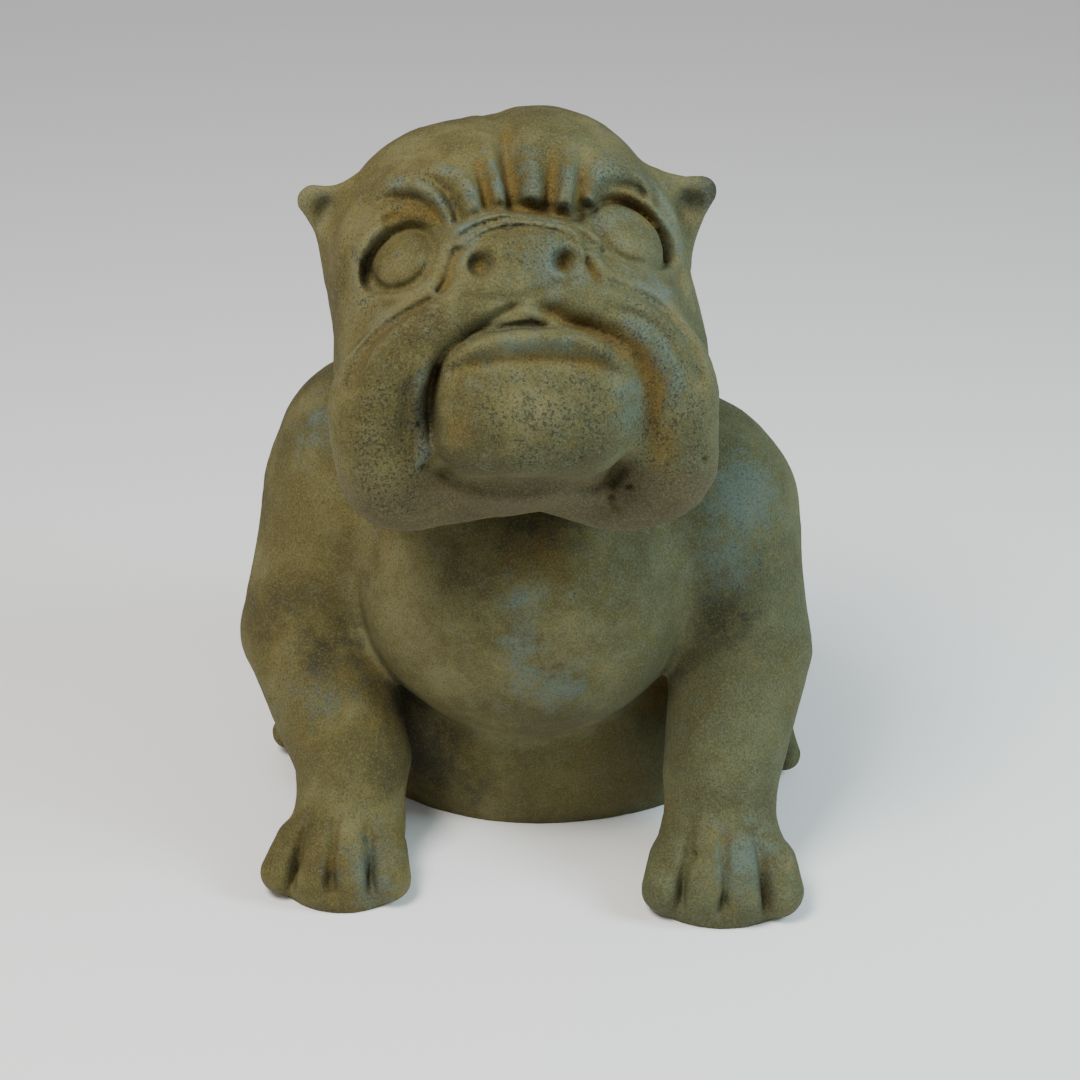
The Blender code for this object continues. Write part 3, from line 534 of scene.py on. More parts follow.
def skin(field, low, high, pitch, coarse=4):
    """Surface nets. A corner stands in each cell that the zero surface crosses, at the mean of its
    edges' crossings, and a four-sided face crosses each grid edge whose ends are on both sides.
    The field is sampled on a coarse grid first, and finely only near its zero."""
    low, high = np.array(low, float), np.array(high, float)
    blocks = np.ceil((high - low) / (pitch * coarse)).astype(int)
    wide = pitch * coarse
    centres = np.stack(np.meshgrid(*[(np.arange(n) + 0.5) * wide for n in blocks], indexing="ij"), -1) + low
    rough = sampled(field, centres.reshape(-1, 3)).reshape(blocks)
    value = rough.repeat(coarse, 0).repeat(coarse, 1).repeat(coarse, 2)
    near = np.abs(value) < wide * 2.0
    value[near] = sampled(field, low + (np.argwhere(near) + 0.5) * pitch)
    joined(value)
    cells = np.array(value.shape) - 1
    total = np.zeros((cells.prod(), 3))
    count = np.zeros(cells.prod())
    faces = []
    for axis in range(3):
        start = [slice(None)] * 3
        end = [slice(None)] * 3
        start[axis], end[axis] = slice(0, -1), slice(1, None)
        a, b = value[tuple(start)], value[tuple(end)]
        crossed = np.argwhere((a < 0) != (b < 0))
        u, v = (axis + 1) % 3, (axis + 2) % 3
        across = crossed[:, [u, v]]
        crossed = crossed[((across > 0) & (across < cells[[u, v]])).all(1)]
        va, vb = a[tuple(crossed.T)], b[tuple(crossed.T)]
        place = crossed + 0.5
        place[:, axis] += va / (va - vb)
        ring = []
        for du, dv in ((0, 0), (-1, 0), (-1, -1), (0, -1)):
            cell = crossed.copy()
            cell[:, u] += du
            cell[:, v] += dv
            flat = np.ravel_multi_index(cell.T, cells)
            for k in range(3):
                total[:, k] += np.bincount(flat, place[:, k], len(total))
            count += np.bincount(flat, minlength=len(count))
            ring.append(flat)
        ring = np.stack(ring, 1)
        faces.append(np.where((va < 0)[:, None], ring, ring[:, ::-1]))
    faces = np.concatenate(faces)
    used = np.flatnonzero(count)
    number = np.full(len(count), -1)
    number[used] = np.arange(len(used))
    corners = low + total[used] / count[used][:, None] * pitch
    return settled(field, corners, pitch), number[faces]


def settled(field, corners, pitch, nudge=1e-4):
    """Corners moved onto the zero surface: back along the field's slope by value over slope, and by
    half a pitch at most."""
    value = sampled(field, corners)
    slope = np.stack([sampled(field, corners + nudge * axis) - value for axis in np.eye(3)], 1) / nudge
    move = slope * (value / np.maximum((slope**2).sum(1), 0.3))[:, None]
    length = np.sqrt((move**2).sum(1)) + 1e-12
    return corners - move * np.minimum(1, 0.5 * pitch / length)[:, None]


# The box that the skin is looked for in, in shares of the height
BOX_LOW, BOX_HIGH = (-0.45, -0.48, -0.06), (0.45, 0.48, 1.08)


def magnified(places, back=False):
    """Places drawn out from the middle of the face: twice as far at it, and no farther well away from
    it. The same function takes them back, by repeating its own division."""
    middle = np.array(FACE_AT)
    gap = places - middle
    found = gap
    for _ in range(40 if back else 1):
        swell = 1 + np.exp(-(found**2).sum(1) / FACE_REACH**2)[:, None]
        found = gap / swell if back else gap * swell
    return middle + found


# Unrelated numbers that stir the lattice's places. Others would do as well.
STIR_BY, STIR_TIMES = np.array((12.9898, 78.233, 37.719)), 43758.5453


def lattice_value(cell):
    """A repeatable number from 0 to 1 for each whole-number place: what follows the point in a large
    multiple of a sine."""
    mixed = np.sin(cell @ STIR_BY) * STIR_TIMES
    return mixed - np.floor(mixed)


def cloud(p, size):
    """Smooth random relief from -1 to 1 with lumps of that size: lattice values, joined by smooth steps."""
    q = p / size
    cell = np.floor(q)
    t = q - cell
    t = t * t * (3 - 2 * t)
    total = np.zeros(len(p))
    for corner in np.ndindex(2, 2, 2):
        share = np.where(np.array(corner) == 1, t, 1 - t).prod(1)
        total += share * lattice_value(cell + corner)
    return 2 * total - 1


def pits(p, size, kept):
    """Small round holes, from 0 beside them to 1 at their middle: one place in each cell of that size,
    of which the share `kept` holds a hole."""
    q = p / size
    cell = np.floor(q)
    deepest = np.zeros(len(p))
    for corner in np.ndindex(3, 3, 3):
        there = cell + np.array(corner) - 1
        seed = [lattice_value(there + shift) for shift in (0.0, 17.0, 43.0, 71.0)]
        middle = there + 0.2 + 0.6 * np.stack(seed[:3], 1)
        gap = np.sqrt(((q - middle) ** 2).sum(1))
        radius = 0.18 + 0.22 * seed[0]
        hole = np.clip(1 - (gap / radius) ** 2, 0, 1)
        deepest = np.maximum(deepest, np.where(seed[3] < kept, hole, 0))
    return deepest


def spot(p, stains):
    """Soft round stains, each with its middle, reach and strength in shares of the height."""
    total = np.zeros(len(p))
    for middle, reach, strength in stains:
        gap = ((p - np.array(middle)) ** 2).sum(1)
        total = np.maximum(total, strength * np.exp(-gap / reach**2))
    return total


def face_places(place):
    """Places across and up on the face's plane, and 1 at its front, fading to 0 behind."""
    q = (place - HEAD_AT) @ turned(yaw=HEAD_YAW) @ turned(pitch=-FACE_LEAN)
    return q[:, [0, 2]], step(q[:, 1], 0.0, -0.05)


# Pitted parts of the face: middle (across, up) on its plane, reach across and up, and strength
PITTED = (
    ((-0.165, -0.190), (0.050, 0.085), 1.0),
    ((-0.120, -0.090), (0.050, 0.050), 0.8),
    ((0.160, -0.180), (0.045, 0.085), 0.9),
    ((0.115, -0.075), (0.060, 0.045), 0.7),
    ((0.015, -0.170), (0.090, 0.060), 0.9),
    ((0.010, 0.045), (0.080, 0.045), 0.7),
    ((-0.120, 0.095), (0.070, 0.035), 0.7),
    ((0.130, 0.110), (0.060, 0.035), 0.7),
    ((-0.195, 0.010), (0.025, 0.050), 0.7),
    ((0.020, 0.110), (0.040, 0.060), 0.5),
)

# Chips and deep holes: middle, reach and depth in shares of the height
CHIPS = (
    ((0.231, -0.352, 0.088), 0.0080, 0.011),
    ((0.357, -0.340, 0.075), 0.0100, 0.006),
    ((0.234, -0.350, 0.640), 0.0060, 0.007),
    ((0.107, -0.300, 0.882), 0.0045, 0.006),
    ((0.135, -0.345, 0.624), 0.0050, 0.006),
    ((0.124, -0.352, 0.588), 0.0045, 0.006),
    ((0.143, -0.350, 0.604), 0.0050, 0.006),
    ((-0.095, -0.405, 0.700), 0.0050, 0.006),
    ((-0.094, -0.402, 0.645), 0.0045, 0.005),
)

# Fine creases and folds on the face's plane: depth, width and points. A depth below zero raises one.
FINE_LINES = (
    (0.0035, 0.0045, ((-0.181, 0.021), (-0.177, -0.001), (-0.156, -0.012), (-0.129, -0.003), (-0.113, 0.02))),
    (-0.0030, 0.0050, ((-0.176, -0.020), (-0.146, -0.022), (-0.117, -0.012), (-0.102, 0.014))),
    (0.0030, 0.0075, ((-0.109, -0.024), (-0.129, -0.035), (-0.159, -0.052), (-0.186, -0.07), (-0.21, -0.13))),
    (-0.0035, 0.005, ((-0.09, -0.03), (-0.125, -0.044), (-0.156, -0.064), (-0.18, -0.087), (-0.195, -0.115))),
    (-0.0035, 0.0090, ((-0.12, -0.10), (-0.13, -0.126), (-0.128, -0.161), (-0.128, -0.196), (-0.137, -0.23))),
    (0.0030, 0.0060, ((-0.135, -0.106), (-0.147, -0.138), (-0.152, -0.172), (-0.155, -0.206))),
    (0.0020, 0.0050, ((-0.116, -0.130), (-0.117, -0.173), (-0.119, -0.202), (-0.125, -0.231))),
    (0.0040, 0.0045, ((0.049, 0.039), (0.062, 0.023), (0.070, 0.005))),
    (0.0035, 0.0045, ((0.056, 0.046), (0.083, 0.022), (0.104, -0.008), (0.134, -0.022))),
    (0.0045, 0.0055, ((0.082, -0.047), (0.123, -0.056), (0.153, -0.080), (0.172, -0.113), (0.182, -0.150))),
    (-0.0035, 0.0055, ((0.100, -0.038), (0.138, -0.054), (0.169, -0.082), (0.189, -0.121))),
    (-0.0035, 0.0045, ((-0.08, -0.078), (-0.05, -0.059), (-0.016, -0.047), (0.016, -0.058), (0.046, -0.073))),
    (0.0035, 0.0040, ((-0.056, -0.067), (-0.016, -0.062), (0.031, -0.065))),
    (0.0040, 0.0060, ((-0.081, -0.238), (-0.041, -0.238), (0.006, -0.241), (0.075, -0.249))),
    (0.0055, 0.0060, ((0.106, -0.219), (0.096, -0.244), (0.093, -0.267), (0.110, -0.289))),
    (0.0035, 0.0045, ((0.085, 0.058), (0.090, 0.038), (0.102, 0.020), (0.122, 0.010), (0.153, 0.009))),
    (-0.0025, 0.0045, ((0.074, 0.041), (0.087, 0.022), (0.112, 0.002), (0.145, -0.001))),
    (-0.0030, 0.0050, ((-0.154, 0.112), (-0.130, 0.121), (-0.107, 0.124), (-0.084, 0.116))),
    (0.0035, 0.0060, ((-0.165, -0.259), (-0.136, -0.272), (-0.105, -0.262), (-0.081, -0.257))),
    (0.0030, 0.0055, ((0.157, -0.172), (0.159, -0.207), (0.154, -0.242), (0.139, -0.266))),
)

# The sharper hole in each nostril's hollow, in shares of the height
NOSTRIL_REACH, NOSTRIL_DEPTH = 0.0080, 0.0035

# The casting's unevenness in metres: size of its lumps and how far they rise
UNEVENNESS = ((0.030, 0.00060), (0.011, 0.00030), (0.0040, 0.00014))

# Pits in metres: size of the cells that may hold one, and depth. Then the share of cells that do where
# the casting is most pitted, and how pitted it is all over.
PIT_CELL, PIT_DEPTH = 0.0055, 0.0007
PIT_SHARE, PITTED_ALL_OVER = 0.45, 0.10


def creased(place):
    """Depth of the creases and nostrils at each place, in shares of the height, below zero on a fold."""
    flat, front = face_places(place)
    depth = carved(np.zeros(len(place)), flat, FINE_LINES, front, 0.2, 0.2)
    for middle in NOSTRILS:
        gap = ((flat - np.array(middle)) ** 2).sum(1) / NOSTRIL_REACH**2
        depth += NOSTRIL_DEPTH * front * np.exp(-(gap**2))
    return depth


def pitted(place):
    """How pitted the casting is, from 0 to 1: soft ovals on the face, and a little all over."""
    flat, front = face_places(place)
    total = np.full(len(place), PITTED_ALL_OVER)
    for middle, reach, strength in PITTED:
        gap = (((flat - np.array(middle)) / np.array(reach)) ** 2).sum(1)
        total = np.maximum(total, front * strength * (1 - step(gap, 0.5, 1.6)))
    return total


def worn(place, normal):
    """The skin moved along its normal by the casting's unevenness, pits, chips and creases."""
    metres = place * HEIGHT
    rise = sum(height * cloud(metres, size) for size, height in UNEVENNESS)
    rise -= PIT_DEPTH * pits(metres, PIT_CELL, PIT_SHARE * pitted(place))
    sunk = np.zeros(len(place))
    for middle, reach, depth in CHIPS:
        gap = ((place - np.array(middle)) ** 2).sum(1) / reach**2
        sunk = np.maximum(sunk, depth * np.exp(-(gap**2)))
    return place + normal * (rise / HEIGHT - sunk - creased(place))[:, None]


def corners_of(mesh):
    """Places of the mesh's corners, one row for each."""
    flat = np.empty(len(mesh.vertices) * 3)
    mesh.vertices.foreach_get("co", flat)
    return flat.reshape(-1, 3)


def normals_of(mesh):
    """Normals at the mesh's corners, one row for each."""
    flat = np.empty(len(mesh.vertices) * 3)
    mesh.vertex_normals.foreach_get("vector", flat)
    return flat.reshape(-1, 3)


def carve_dog():
    """The statue's fine skin: sampled, worn, thinned and cut flat on the soles, as a mesh in shares of
    the height."""
    corners, faces = skin(statue, BOX_LOW, BOX_HIGH, PITCH / HEIGHT)
    raw = bpy.data.meshes.new("raw")
    raw.from_pydata(corners.tolist(), [], faces.tolist())
    raw.update()
    raw.vertices.foreach_set("co", magnified(worn(corners, normals_of(raw))).ravel())
    rough = bpy.data.objects.new("rough", raw)
    bpy.context.scene.collection.objects.link(rough)
    thin = rough.modifiers.new("Thinned", "DECIMATE")
    thin.ratio = TRIANGLES / (2 * len(faces))
    mesh = bpy.data.meshes.new_from_object(rough.evaluated_get(bpy.context.evaluated_depsgraph_get()))
    bpy.data.objects.remove(rough)
    mesh.vertices.foreach_set("co", magnified(corners_of(mesh), back=True).ravel())

    work = bmesh.new()
    work.from_mesh(mesh)
    geometry = work.verts[:] + work.edges[:] + work.faces[:]
    ground = {"plane_co": (0, 0, 0), "plane_no": (0, 0, 1)}
    sliced = bmesh.ops.bisect_plane(work, geom=geometry, clear_inner=True, **ground)
    rims = [e for e in sliced["geom_cut"] if isinstance(e, bmesh.types.BMEdge)]
    bmesh.ops.holes_fill(work, edges=rims, sides=0)
    bmesh.ops.triangulate(work, faces=work.faces)
    bmesh.ops.recalc_face_normals(work, faces=work.faces)
    work.to_mesh(mesh)
    work.free()
    mesh.update()
    return mesh


# Named stains and painted light: middle (across, back, up), reach and strength, in shares of the height
# Blue-grey patches of the stone, and painted highlights, as on the right shoulder and the chest
BLUE_STAINS_AND_HIGHLIGHTS = (
    ((0.281, -0.144, 0.497), 0.060, 0.9),
    ((0.262, -0.177, 0.426), 0.050, 0.7),
    ((0.011, -0.298, 0.415), 0.035, 0.6),
    ((0.013, -0.299, 0.360), 0.032, 0.6),
    ((0.015, -0.299, 0.306), 0.032, 0.6),
    ((0.059, -0.289, 0.288), 0.040, 0.7),
    ((0.225, -0.116, 0.892), 0.028, 0.5),
    ((-0.185, -0.362, 0.049), 0.045, 0.8),
    ((0.302, -0.357, 0.089), 0.050, 0.7),
    ((-0.269, -0.116, 0.576), 0.060, 0.5),
    ((0.115, -0.260, 0.955), 0.060, 0.6),
    ((0.060, -0.370, 0.895), 0.040, 0.8),
    ((-0.060, -0.330, 0.915), 0.030, 0.7),
    ((-0.245, -0.255, 0.240), 0.040, 0.4),
)
# Dark patches of dirt, and painted shade: on the chest under the chin, between the forelegs and the belly,
# and where the feet meet the ground
GRIME_AND_SHADE_SPOTS = (
    ((0.265, -0.194, 0.348), 0.045, 0.9),
    ((0.320, -0.153, 0.417), 0.045, 0.5),
    ((-0.262, -0.220, 0.292), 0.050, 0.9),
    ((-0.305, -0.191, 0.349), 0.050, 0.6),
    ((-0.170, -0.290, 0.157), 0.055, 0.7),
    ((-0.128, -0.164, 0.097), 0.075, 1.0),
    ((-0.072, -0.176, 0.059), 0.050, 0.7),
    ((0.020, -0.270, 0.500), 0.055, 0.6),
    ((-0.200, -0.200, 0.520), 0.060, 0.4),
    ((-0.160, -0.180, 0.200), 0.045, 0.8),
    ((0.150, -0.180, 0.290), 0.035, 0.5),
    ((-0.230, -0.390, 0.030), 0.045, 0.4),
    ((0.310, -0.370, 0.030), 0.050, 0.4),
    ((-0.280, -0.006, 0.600), 0.070, 0.5),
    ((-0.105, -0.408, 0.728), 0.022, 0.5),
    ((-0.100, -0.400, 0.690), 0.022, 0.5),
    ((0.235, -0.110, 0.895), 0.040, 1.0),
    ((-0.250, -0.270, 0.200), 0.080, 0.42),
    ((-0.200, -0.360, 0.080), 0.060, 0.40),
    ((0.010, -0.350, 0.885), 0.045, 0.36),
    ((0.361, -0.024, 0.037), 0.060, 0.5),
)
PALE_STAINS = (
    ((-0.165, -0.385, 0.620), 0.075, 0.9),
    ((-0.100, -0.265, 0.420), 0.060, 0.5),
    ((-0.149, -0.263, 0.365), 0.080, 0.8),
    ((-0.080, -0.290, 0.300), 0.070, 0.6),
    ((-0.175, -0.370, 0.560), 0.045, 1.0),
    ((-0.180, -0.385, 0.660), 0.050, 0.7),
    ((0.140, -0.320, 0.535), 0.040, 0.6),
    ((0.060, -0.275, 0.345), 0.060, 0.5),
    ((-0.280, -0.215, 0.230), 0.045, 0.7),
    ((-0.246, -0.201, 0.885), 0.040, 0.5),
    ((0.357, -0.340, 0.075), 0.012, 1.4),
)
WARM_STAINS = (
    ((-0.292, -0.162, 0.453), 0.090, 0.7),
    ((-0.115, -0.246, 0.240), 0.070, 0.5),
    ((0.105, -0.171, 0.082), 0.100, 0.9),
    ((0.184, -0.120, 0.197), 0.060, 0.9),
    ((-0.284, -0.271, 0.185), 0.080, 0.7),
    ((0.353, -0.201, 0.252), 0.070, 0.4),
    ((-0.149, -0.263, 0.365), 0.080, 0.5),
    ((-0.160, -0.340, 0.560), 0.050, 0.8),
    ((-0.246, -0.201, 0.885), 0.050, 0.7),
)
OCHRE_STAINS = (
    ((0.038, -0.280, 0.468), 0.050, 0.6),
    ((0.195, -0.265, 0.115), 0.040, 0.6),
    ((0.263, -0.341, 0.107), 0.030, 0.5),
    ((-0.218, -0.377, 0.073), 0.030, 0.5),
    ((0.184, -0.120, 0.197), 0.040, 0.7),
    ((-0.030, -0.360, 0.870), 0.035, 0.4),
)

# Colour along lines on the face's plane: strength, width and points
OCHRE_LINES = tuple((0.75, 0.011, line) for depth, _, line in BROW_FOLDS if depth > 0.012) + (
    (0.55, 0.010, STOP),
    (0.9, 0.009, ((0.098, 0.088), (0.125, 0.090), (0.143, 0.072), (0.157, 0.035))),
    (0.7, 0.016, ((-0.165, 0.066), (-0.140, 0.080), (-0.110, 0.076), (-0.092, 0.060))),
    (1.0, 0.016, LIP_VALLEY),
    (0.6, 0.016, ((0.150, -0.165), (0.150, -0.210), (0.140, -0.245))),
    (0.6, 0.011, CHIN_TOP),
    (0.55, 0.012, NOSE_WING),
    (0.5, 0.008, NOSE_SLIT),
    (0.9, 0.010, ((-0.064, 0.008), (-0.050, 0.008))),
    (0.9, 0.010, ((0.031, 0.009), (0.045, 0.009))),
    (0.6, 0.014, ((-0.092, -0.160), (-0.090, -0.200))),
)
# Painted highlights: blue-grey along the raised folds, rims and ridges of the face
BLUE_HIGHLIGHT_LINES = tuple((0.46, width, line) for depth, width, line in BROW_FOLDS if depth < 0) + (
    (0.35, 0.010, ((-0.030, 0.067), (0.005, 0.066), (0.040, 0.058), (0.069, 0.043))),
    (0.60, 0.020, ((0.120, -0.012), (0.145, -0.022), (0.172, -0.040))),
    (0.65, 0.020, ((0.095, -0.060), (0.130, -0.080), (0.155, -0.120), (0.168, -0.180))),
    (0.60, 0.010, ((-0.121, -0.099), (-0.128, -0.126), (-0.128, -0.196), (-0.137, -0.231))),
    (0.45, 0.012, ((-0.060, -0.090), (0.000, -0.086), (0.060, -0.090))),
    (0.50, 0.022, ((0.105, -0.120), (0.112, -0.160), (0.100, -0.200))),
    (0.45, 0.016, ((0.110, 0.128), (0.150, 0.120), (0.178, 0.070), (0.186, 0.000))),
)
# Dark lines along the face's creases and lid lines: dirt and painted shade
GRIME_AND_SHADE_LINES = (
    (0.40, 0.016, ((-0.200, 0.050), (-0.197, 0.015), (-0.190, -0.015))),
    (0.35, 0.006, ((-0.116, -0.125), (-0.119, -0.165), (-0.119, -0.215))),
    (0.40, 0.010, ((-0.142, -0.105), (-0.150, -0.140), (-0.153, -0.190))),
    (0.40, 0.006, MOUTH),
    (0.45, 0.012, ((-0.160, 0.098), (-0.125, 0.100), (-0.096, 0.085))),
    (0.45, 0.012, ((0.100, 0.118), (0.140, 0.112), (0.168, 0.075))),
    (0.45, 0.020, ((-0.070, -0.050), (-0.100, -0.070), (-0.115, -0.095))),
)


def along_lines(flat, front, lines):
    """Strength of the strongest line near each place of the face, from 0 to 1."""
    return -carved(np.zeros(len(flat)), flat, [(-d, w, line) for d, w, line in lines], front, 0.25, 0.25)


def paint(mesh):
    """Masks for the stone's colours, one value at each corner of the mesh. Hollows and crests come from
    how fast the distance to the skin changes outwards and inwards; they lay ochre patina and painted shade
    in hollows, and painted highlights on crests. The rest are named stains, painted shade and painted
    highlights."""
    place, normal = corners_of(mesh), normals_of(mesh)
    flat, front = face_places(place)
    near, wide, deep = 0.012, 0.045, 0.014
    # Painted shade under the chin and the lower lips, where the head faces down
    shade_under_chin = front * (1 - step(flat[:, 1], -0.25, -0.20)) * (1 - step(place[:, 2], 0.60, 0.66))
    masks = {
        "hollow": np.clip(1 - sampled(statue, place + near * normal) / near, -1, 1),
        # How enclosed each place is, used to lay painted shade in recesses
        "shelter": np.clip(1 - sampled(statue, place + wide * normal) / wide, -1, 1),
        # How convex each place is, used to lay painted highlights on crests
        "crest": np.clip(1 + sampled(statue, place - deep * normal) / deep, 0, 1),
        "ochre": np.maximum(along_lines(flat, front, OCHRE_LINES), spot(place, OCHRE_STAINS)),
        "blue": np.maximum(along_lines(flat, front, BLUE_HIGHLIGHT_LINES), spot(place, BLUE_STAINS_AND_HIGHLIGHTS)),
        "grime_and_shade": np.maximum(along_lines(flat, front, GRIME_AND_SHADE_LINES), spot(place, GRIME_AND_SHADE_SPOTS)),
        "warm": spot(place, WARM_STAINS),
        "pale": spot(place, PALE_STAINS),
        "green_side": step(place[:, 0] - 0.35 * place[:, 1], -0.15, 0.35),
        "pitted": pitted(place),
        "shade_under_chin": shade_under_chin,
    }
    for name, value in masks.items():
        layer = mesh.attributes.new(name, "FLOAT", "POINT")
        layer.data.foreach_set("value", value.astype(np.float32))


class Value:
    """A shader socket. Arithmetic on it adds Math nodes, with plain numbers on either side."""

    def __init__(self, tree, socket):
        self.tree = tree
        self.socket = socket

    def node(self, kind, settings, inputs, output=0):
        """Adds any node: its settings first, then values or links for the sockets that are named."""
        made = self.tree.nodes.new(kind)
        for name, value in settings.items():
            setattr(made, name, value)
        for name, value in inputs.items():
            if isinstance(value, Value):
                self.tree.links.new(value.socket, made.inputs[name])
            else:
                made.inputs[name].default_value = value
        return Value(self.tree, made.outputs[output])

    def maths(self, operation, first, second):
        """One Math node, with either end a value or a plain number."""
        return self.node("ShaderNodeMath", {"operation": operation}, {0: first, 1: second})

    def __add__(self, other):
        return self.maths("ADD", self, other)

    def __radd__(self, other):
        return self.maths("ADD", other, self)

    def __sub__(self, other):
        return self.maths("SUBTRACT", self, other)

    def __rsub__(self, other):
        return self.maths("SUBTRACT", other, self)

    def __mul__(self, other):
        return self.maths("MULTIPLY", self, other)

    def __rmul__(self, other):
        return self.maths("MULTIPLY", other, self)

    def above(self, start, end):
        """Smooth step: 0 at start and 1 at end."""
        limits = {"Value": self, "From Min": start, "From Max": end, "To Min": 0.0, "To Max": 1.0}
        return self.node("ShaderNodeMapRange", {"interpolation_type": "SMOOTHSTEP"}, limits)


def over(share, colour, under):
    """The colour laid over another one, by its share from 0 to 1."""
    settings = {"data_type": "RGBA", "clamp_factor": True}
    return share.node("ShaderNodeMix", settings, {0: share, 6: under, 7: colour}, 2)


# Colours of the stone, of what has settled on it, and of painted shade and painted highlights
BEIGE = (0.094, 0.078, 0.021, 1)
OLIVE = (0.074, 0.074, 0.028, 1)
# Pale: the stone's lighter tone, and painted highlights on crests
PALE = (0.148, 0.134, 0.060, 1)
BROWN = (0.042, 0.034, 0.011, 1)
GREEN = (0.062, 0.078, 0.042, 1)
# Blue-grey: patches of the stone, and painted highlights
BLUE = (0.080, 0.116, 0.098, 1)
OCHRE = (0.112, 0.070, 0.010, 1)
# Plum: painted shade under the chin
PLUM = (0.070, 0.052, 0.028, 1)
# Near black: dirt and pits, and painted shade in hollows, creases and under the body
GRIME_AND_SHADE = (0.013, 0.013, 0.006, 1)


def stone_material():
    """Weathered cast stone: beige and olive mottling, green to the dog's left, ochre in the valleys,
    blue-grey patches, painted highlights on the crests, dark patches with painted shade in the hollows and
    under the chin, and a fine dark speckle. The bump follows the grain."""
    material = bpy.data.materials.new("weathered cast stone")
    material.use_nodes = True
    tree = material.node_tree
    shader = tree.nodes["Principled BSDF"]
    start = Value(tree, tree.nodes.new("ShaderNodeTexCoord").outputs["Object"])

    def noise(size, detail, rough=0.5):
        """Noise with its largest lumps about that size, in metres."""
        inputs = {"Vector": start, "Scale": 1 / size, "Detail": detail, "Roughness": rough}
        return start.node("ShaderNodeTexNoise", {}, inputs)

    def mask(name):
        """One of the masks that are painted on the skin."""
        return start.node("ShaderNodeAttribute", {"attribute_name": name}, {}, 2)

    broad = noise(0.080, 3.0)
    mottle = noise(0.028, 5.0, 0.60)
    smudge = noise(0.0085, 5.0, 0.65)
    dots = noise(0.0015, 2.0, 0.6)
    sand = noise(0.0010, 2.0, 0.6)

    colour = over(mask("green_side") * 0.75 + (broad - 0.5) * 1.5, OLIVE, BEIGE)
    colour = over((mottle - 0.47) * 4.2, BROWN, colour)
    colour = over((0.49 - mottle) * 4.0, PALE, colour)
    colour = over((mask("green_side") * 0.4 + smudge - 0.60).above(0.0, 0.4) * 0.6, GREEN, colour)
    colour = over((mask("warm") + mottle - 0.60).above(0.0, 0.7) * 0.7, BEIGE, colour)
    # Painted highlight: the crests made pale. The named pale patches and the smudges are the stone's own
    # tone.
    colour = over(mask("crest") * 0.9 + mask("pale") * 0.8 + (smudge - 0.55) * 1.6, PALE, colour)
    # Blue-grey patches, and painted highlights on the crests and along the named ridges
    cool = mask("blue") + mask("crest") * 0.3 + (smudge - 0.5) * 1.8 - 0.08
    colour = over(cool.above(0.0, 0.9) * 0.85, BLUE, colour)
    rust = mask("ochre") * 1.05 + mask("hollow") * 0.45 + (mottle - 0.5) * 1.4 - 0.10
    colour = over(rust.above(0.0, 0.9) * 0.85, OCHRE, colour)
    # Painted shade: a dark plum under the chin
    colour = over(mask("shade_under_chin") * 0.6, PLUM, colour)
    # Dirt and painted shade: the named dark spots and lines, and darkening in hollows and sheltered places
    soil_and_shade = mask("grime_and_shade") * 0.9 + mask("shelter") * 0.38 + mask("hollow") * 0.10 + (smudge - 0.5) * 1.5 - 0.16
    colour = over(soil_and_shade.above(0.0, 1.0) * 0.85, GRIME_AND_SHADE, colour)
    speckle = (dots + mask("pitted") * 0.110 + (smudge - 0.5) * 0.55 - 0.630).above(0.0, 0.12)
    colour = over(speckle * (0.30 + mask("pitted") * 0.40), GRIME_AND_SHADE, colour)
    colour = over((sand - 0.5) * 2.4, PALE, colour)
    colour = over((0.5 - sand) * 2.8, BROWN, colour)

    relief = smudge * 0.6 + dots * 0.5 + sand * 0.30 - speckle * 0.5
    bump = start.node("ShaderNodeBump", {}, {"Height": relief, "Strength": 0.6, "Distance": 0.0010})
    tree.links.new(colour.socket, shader.inputs["Base Color"])
    tree.links.new(bump.socket, shader.inputs["Normal"])
    tree.links.new((0.92 - mask("blue") * 0.15 - sand * 0.12).socket, shader.inputs["Roughness"])
    shader.inputs["Specular IOR Level"].default_value = 0.30
    return material


def place_dog():
    """The carved skin in the solid's place: scaled to its height and set over its middle."""
    mesh = carve_dog()
    paint(mesh)
    place = corners_of(mesh)
    low, high = place.min(0), place.max(0)
    middle = (low + high) / 2
    place = (place - (middle[0], middle[1], 0)) * HEIGHT / high[2]
    place[:, :2] += (DOG_LOW[:2] + DOG_HIGH[:2]) / 2
    mesh.vertices.foreach_set("co", place.ravel())
    mesh.shade_smooth()
    mesh.update()
    mesh.materials.clear()
    mesh.materials.append(stone_material())
    dog = bpy.data.objects.new("bulldog_skin", mesh)
    bpy.context.scene.collection.objects.link(dog)
    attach(dog, "root")
    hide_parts("bulldog")
    return middle


# The floor's colour, and how far it reaches each way in shares of the height
FLOOR_COLOUR = (0.95, 0.95, 0.95, 1)
FLOOR_REACH = 12


def lay_floor():
    """A pale floor far larger than the dog."""
    material = bpy.data.materials.new("pale floor")
    material.use_nodes = True
    shader = material.node_tree.nodes["Principled BSDF"]
    shader.inputs["Base Color"].default_value = FLOOR_COLOUR
    shader.inputs["Roughness"].default_value = 0.9
    reach = FLOOR_REACH * HEIGHT
    corners = [(-reach, -reach, 0), (reach, -reach, 0), (reach, reach, 0), (-reach, reach, 0)]
    mesh = bpy.data.meshes.new("floor")
    mesh.from_pydata(corners, [], [(0, 1, 2, 3)])
    mesh.materials.append(material)
    floor = bpy.data.objects.new("floor", mesh)
    bpy.context.scene.collection.objects.link(floor)


# Lamps: name, place in metres, watts, size in metres and colour. The room's own light comes from all round.
LAMPS = (
    ("warm lamp", (-0.45, -0.70, 1.45), 26.0, 0.55, (1.0, 0.97, 0.90)),
    ("cool lamp", (1.05, -0.25, 0.80), 13.0, 0.50, (0.72, 0.93, 1.0)),
)
LAMP_AIM = (0, -0.05, 0.55 * HEIGHT)
ROOM_LIGHT = 0.42


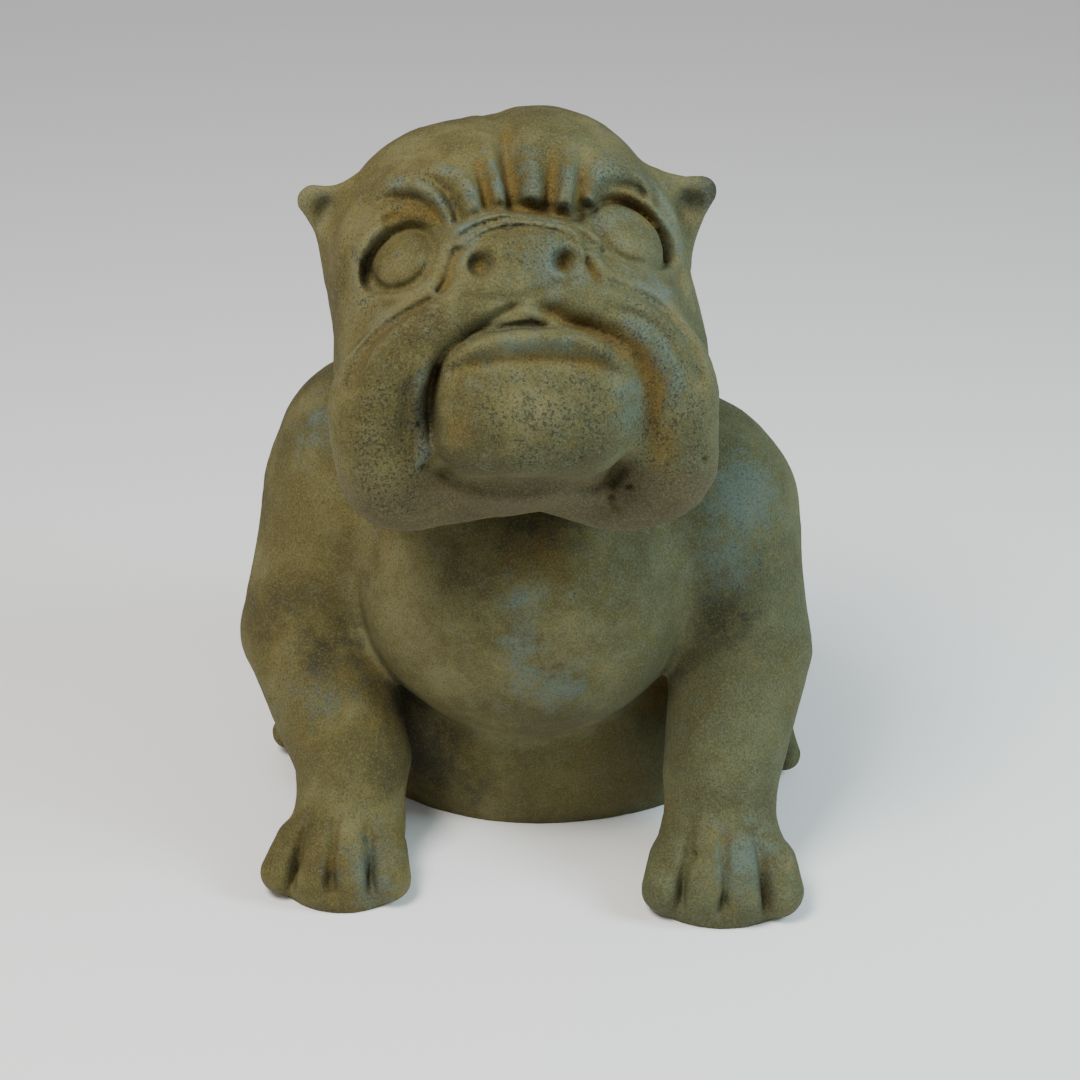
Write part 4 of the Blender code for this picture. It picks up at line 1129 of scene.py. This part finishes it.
def hang_light(name, at, power, size, colour):
    """A square lamp that faces the dog."""
    lamp = bpy.data.lights.new(name, "AREA")
    lamp.energy = power
    lamp.size = size
    lamp.color = colour
    obj = bpy.data.objects.new(name, lamp)
    obj.location = at
    obj.rotation_euler = (Vector(LAMP_AIM) - Vector(at)).to_track_quat("-Z", "Y").to_euler()
    bpy.context.scene.collection.objects.link(obj)


def light_room():
    """Soft light: a warm broad lamp at the upper left, a cool one at the right, and a bright room."""
    for lamp in LAMPS:
        hang_light(*lamp)
    world = bpy.data.worlds.new("room")
    world.use_nodes = True
    background = world.node_tree.nodes["Background"]
    background.inputs["Color"].default_value = (1.0, 1.0, 1.0, 1)
    background.inputs["Strength"].default_value = ROOM_LIGHT
    bpy.context.scene.world = world


# The photograph's viewpoint: degrees above the ground and round to the dog's left. Then, in shares of the
# height, how far it stands from a point in the dog, and how far below and to the right of that point the
# picture's middle lies. Half the picture's width and the focal length are in the photograph's pixels.
VIEW_RISE, VIEW_TURN = 25.0, 5.0
VIEW_FAR, VIEW_POINT = 3.3, np.array((0.0, 0.0, 0.45))
VIEW_DROP, VIEW_SHIFT = 0.0845, 0.0081
HALF_WIDTH, FOCAL_LENGTH = 540, 2433
FIELD_OF_VIEW = 2 * np.arctan(HALF_WIDTH / FOCAL_LENGTH)


def set_camera(middle):
    """The photograph's camera. `middle` is the carved dog's own middle, by which it was moved."""
    rise, around = np.radians(VIEW_RISE), np.radians(VIEW_TURN)
    back = np.array((np.sin(around) * np.cos(rise), -np.cos(around) * np.cos(rise), np.sin(rise)))
    right = np.array((np.cos(around), np.sin(around), 0))
    up = np.cross(back, right)
    point = VIEW_POINT - (middle[0], middle[1], 0)
    eye = (point + back * VIEW_FAR) * HEIGHT
    aim = (point - up * VIEW_DROP + right * VIEW_SHIFT) * HEIGHT
    lens = bpy.data.cameras.new("camera")
    lens.sensor_width = 36
    lens.angle = FIELD_OF_VIEW
    camera = bpy.data.objects.new("camera", lens)
    camera.location = eye
    camera.rotation_euler = Vector(aim - eye).to_track_quat("-Z", "Y").to_euler()
    bpy.context.scene.collection.objects.link(camera)
    bpy.context.scene.camera = camera


dog_middle = place_dog()
lay_floor()
light_room()
set_camera(dog_middle)
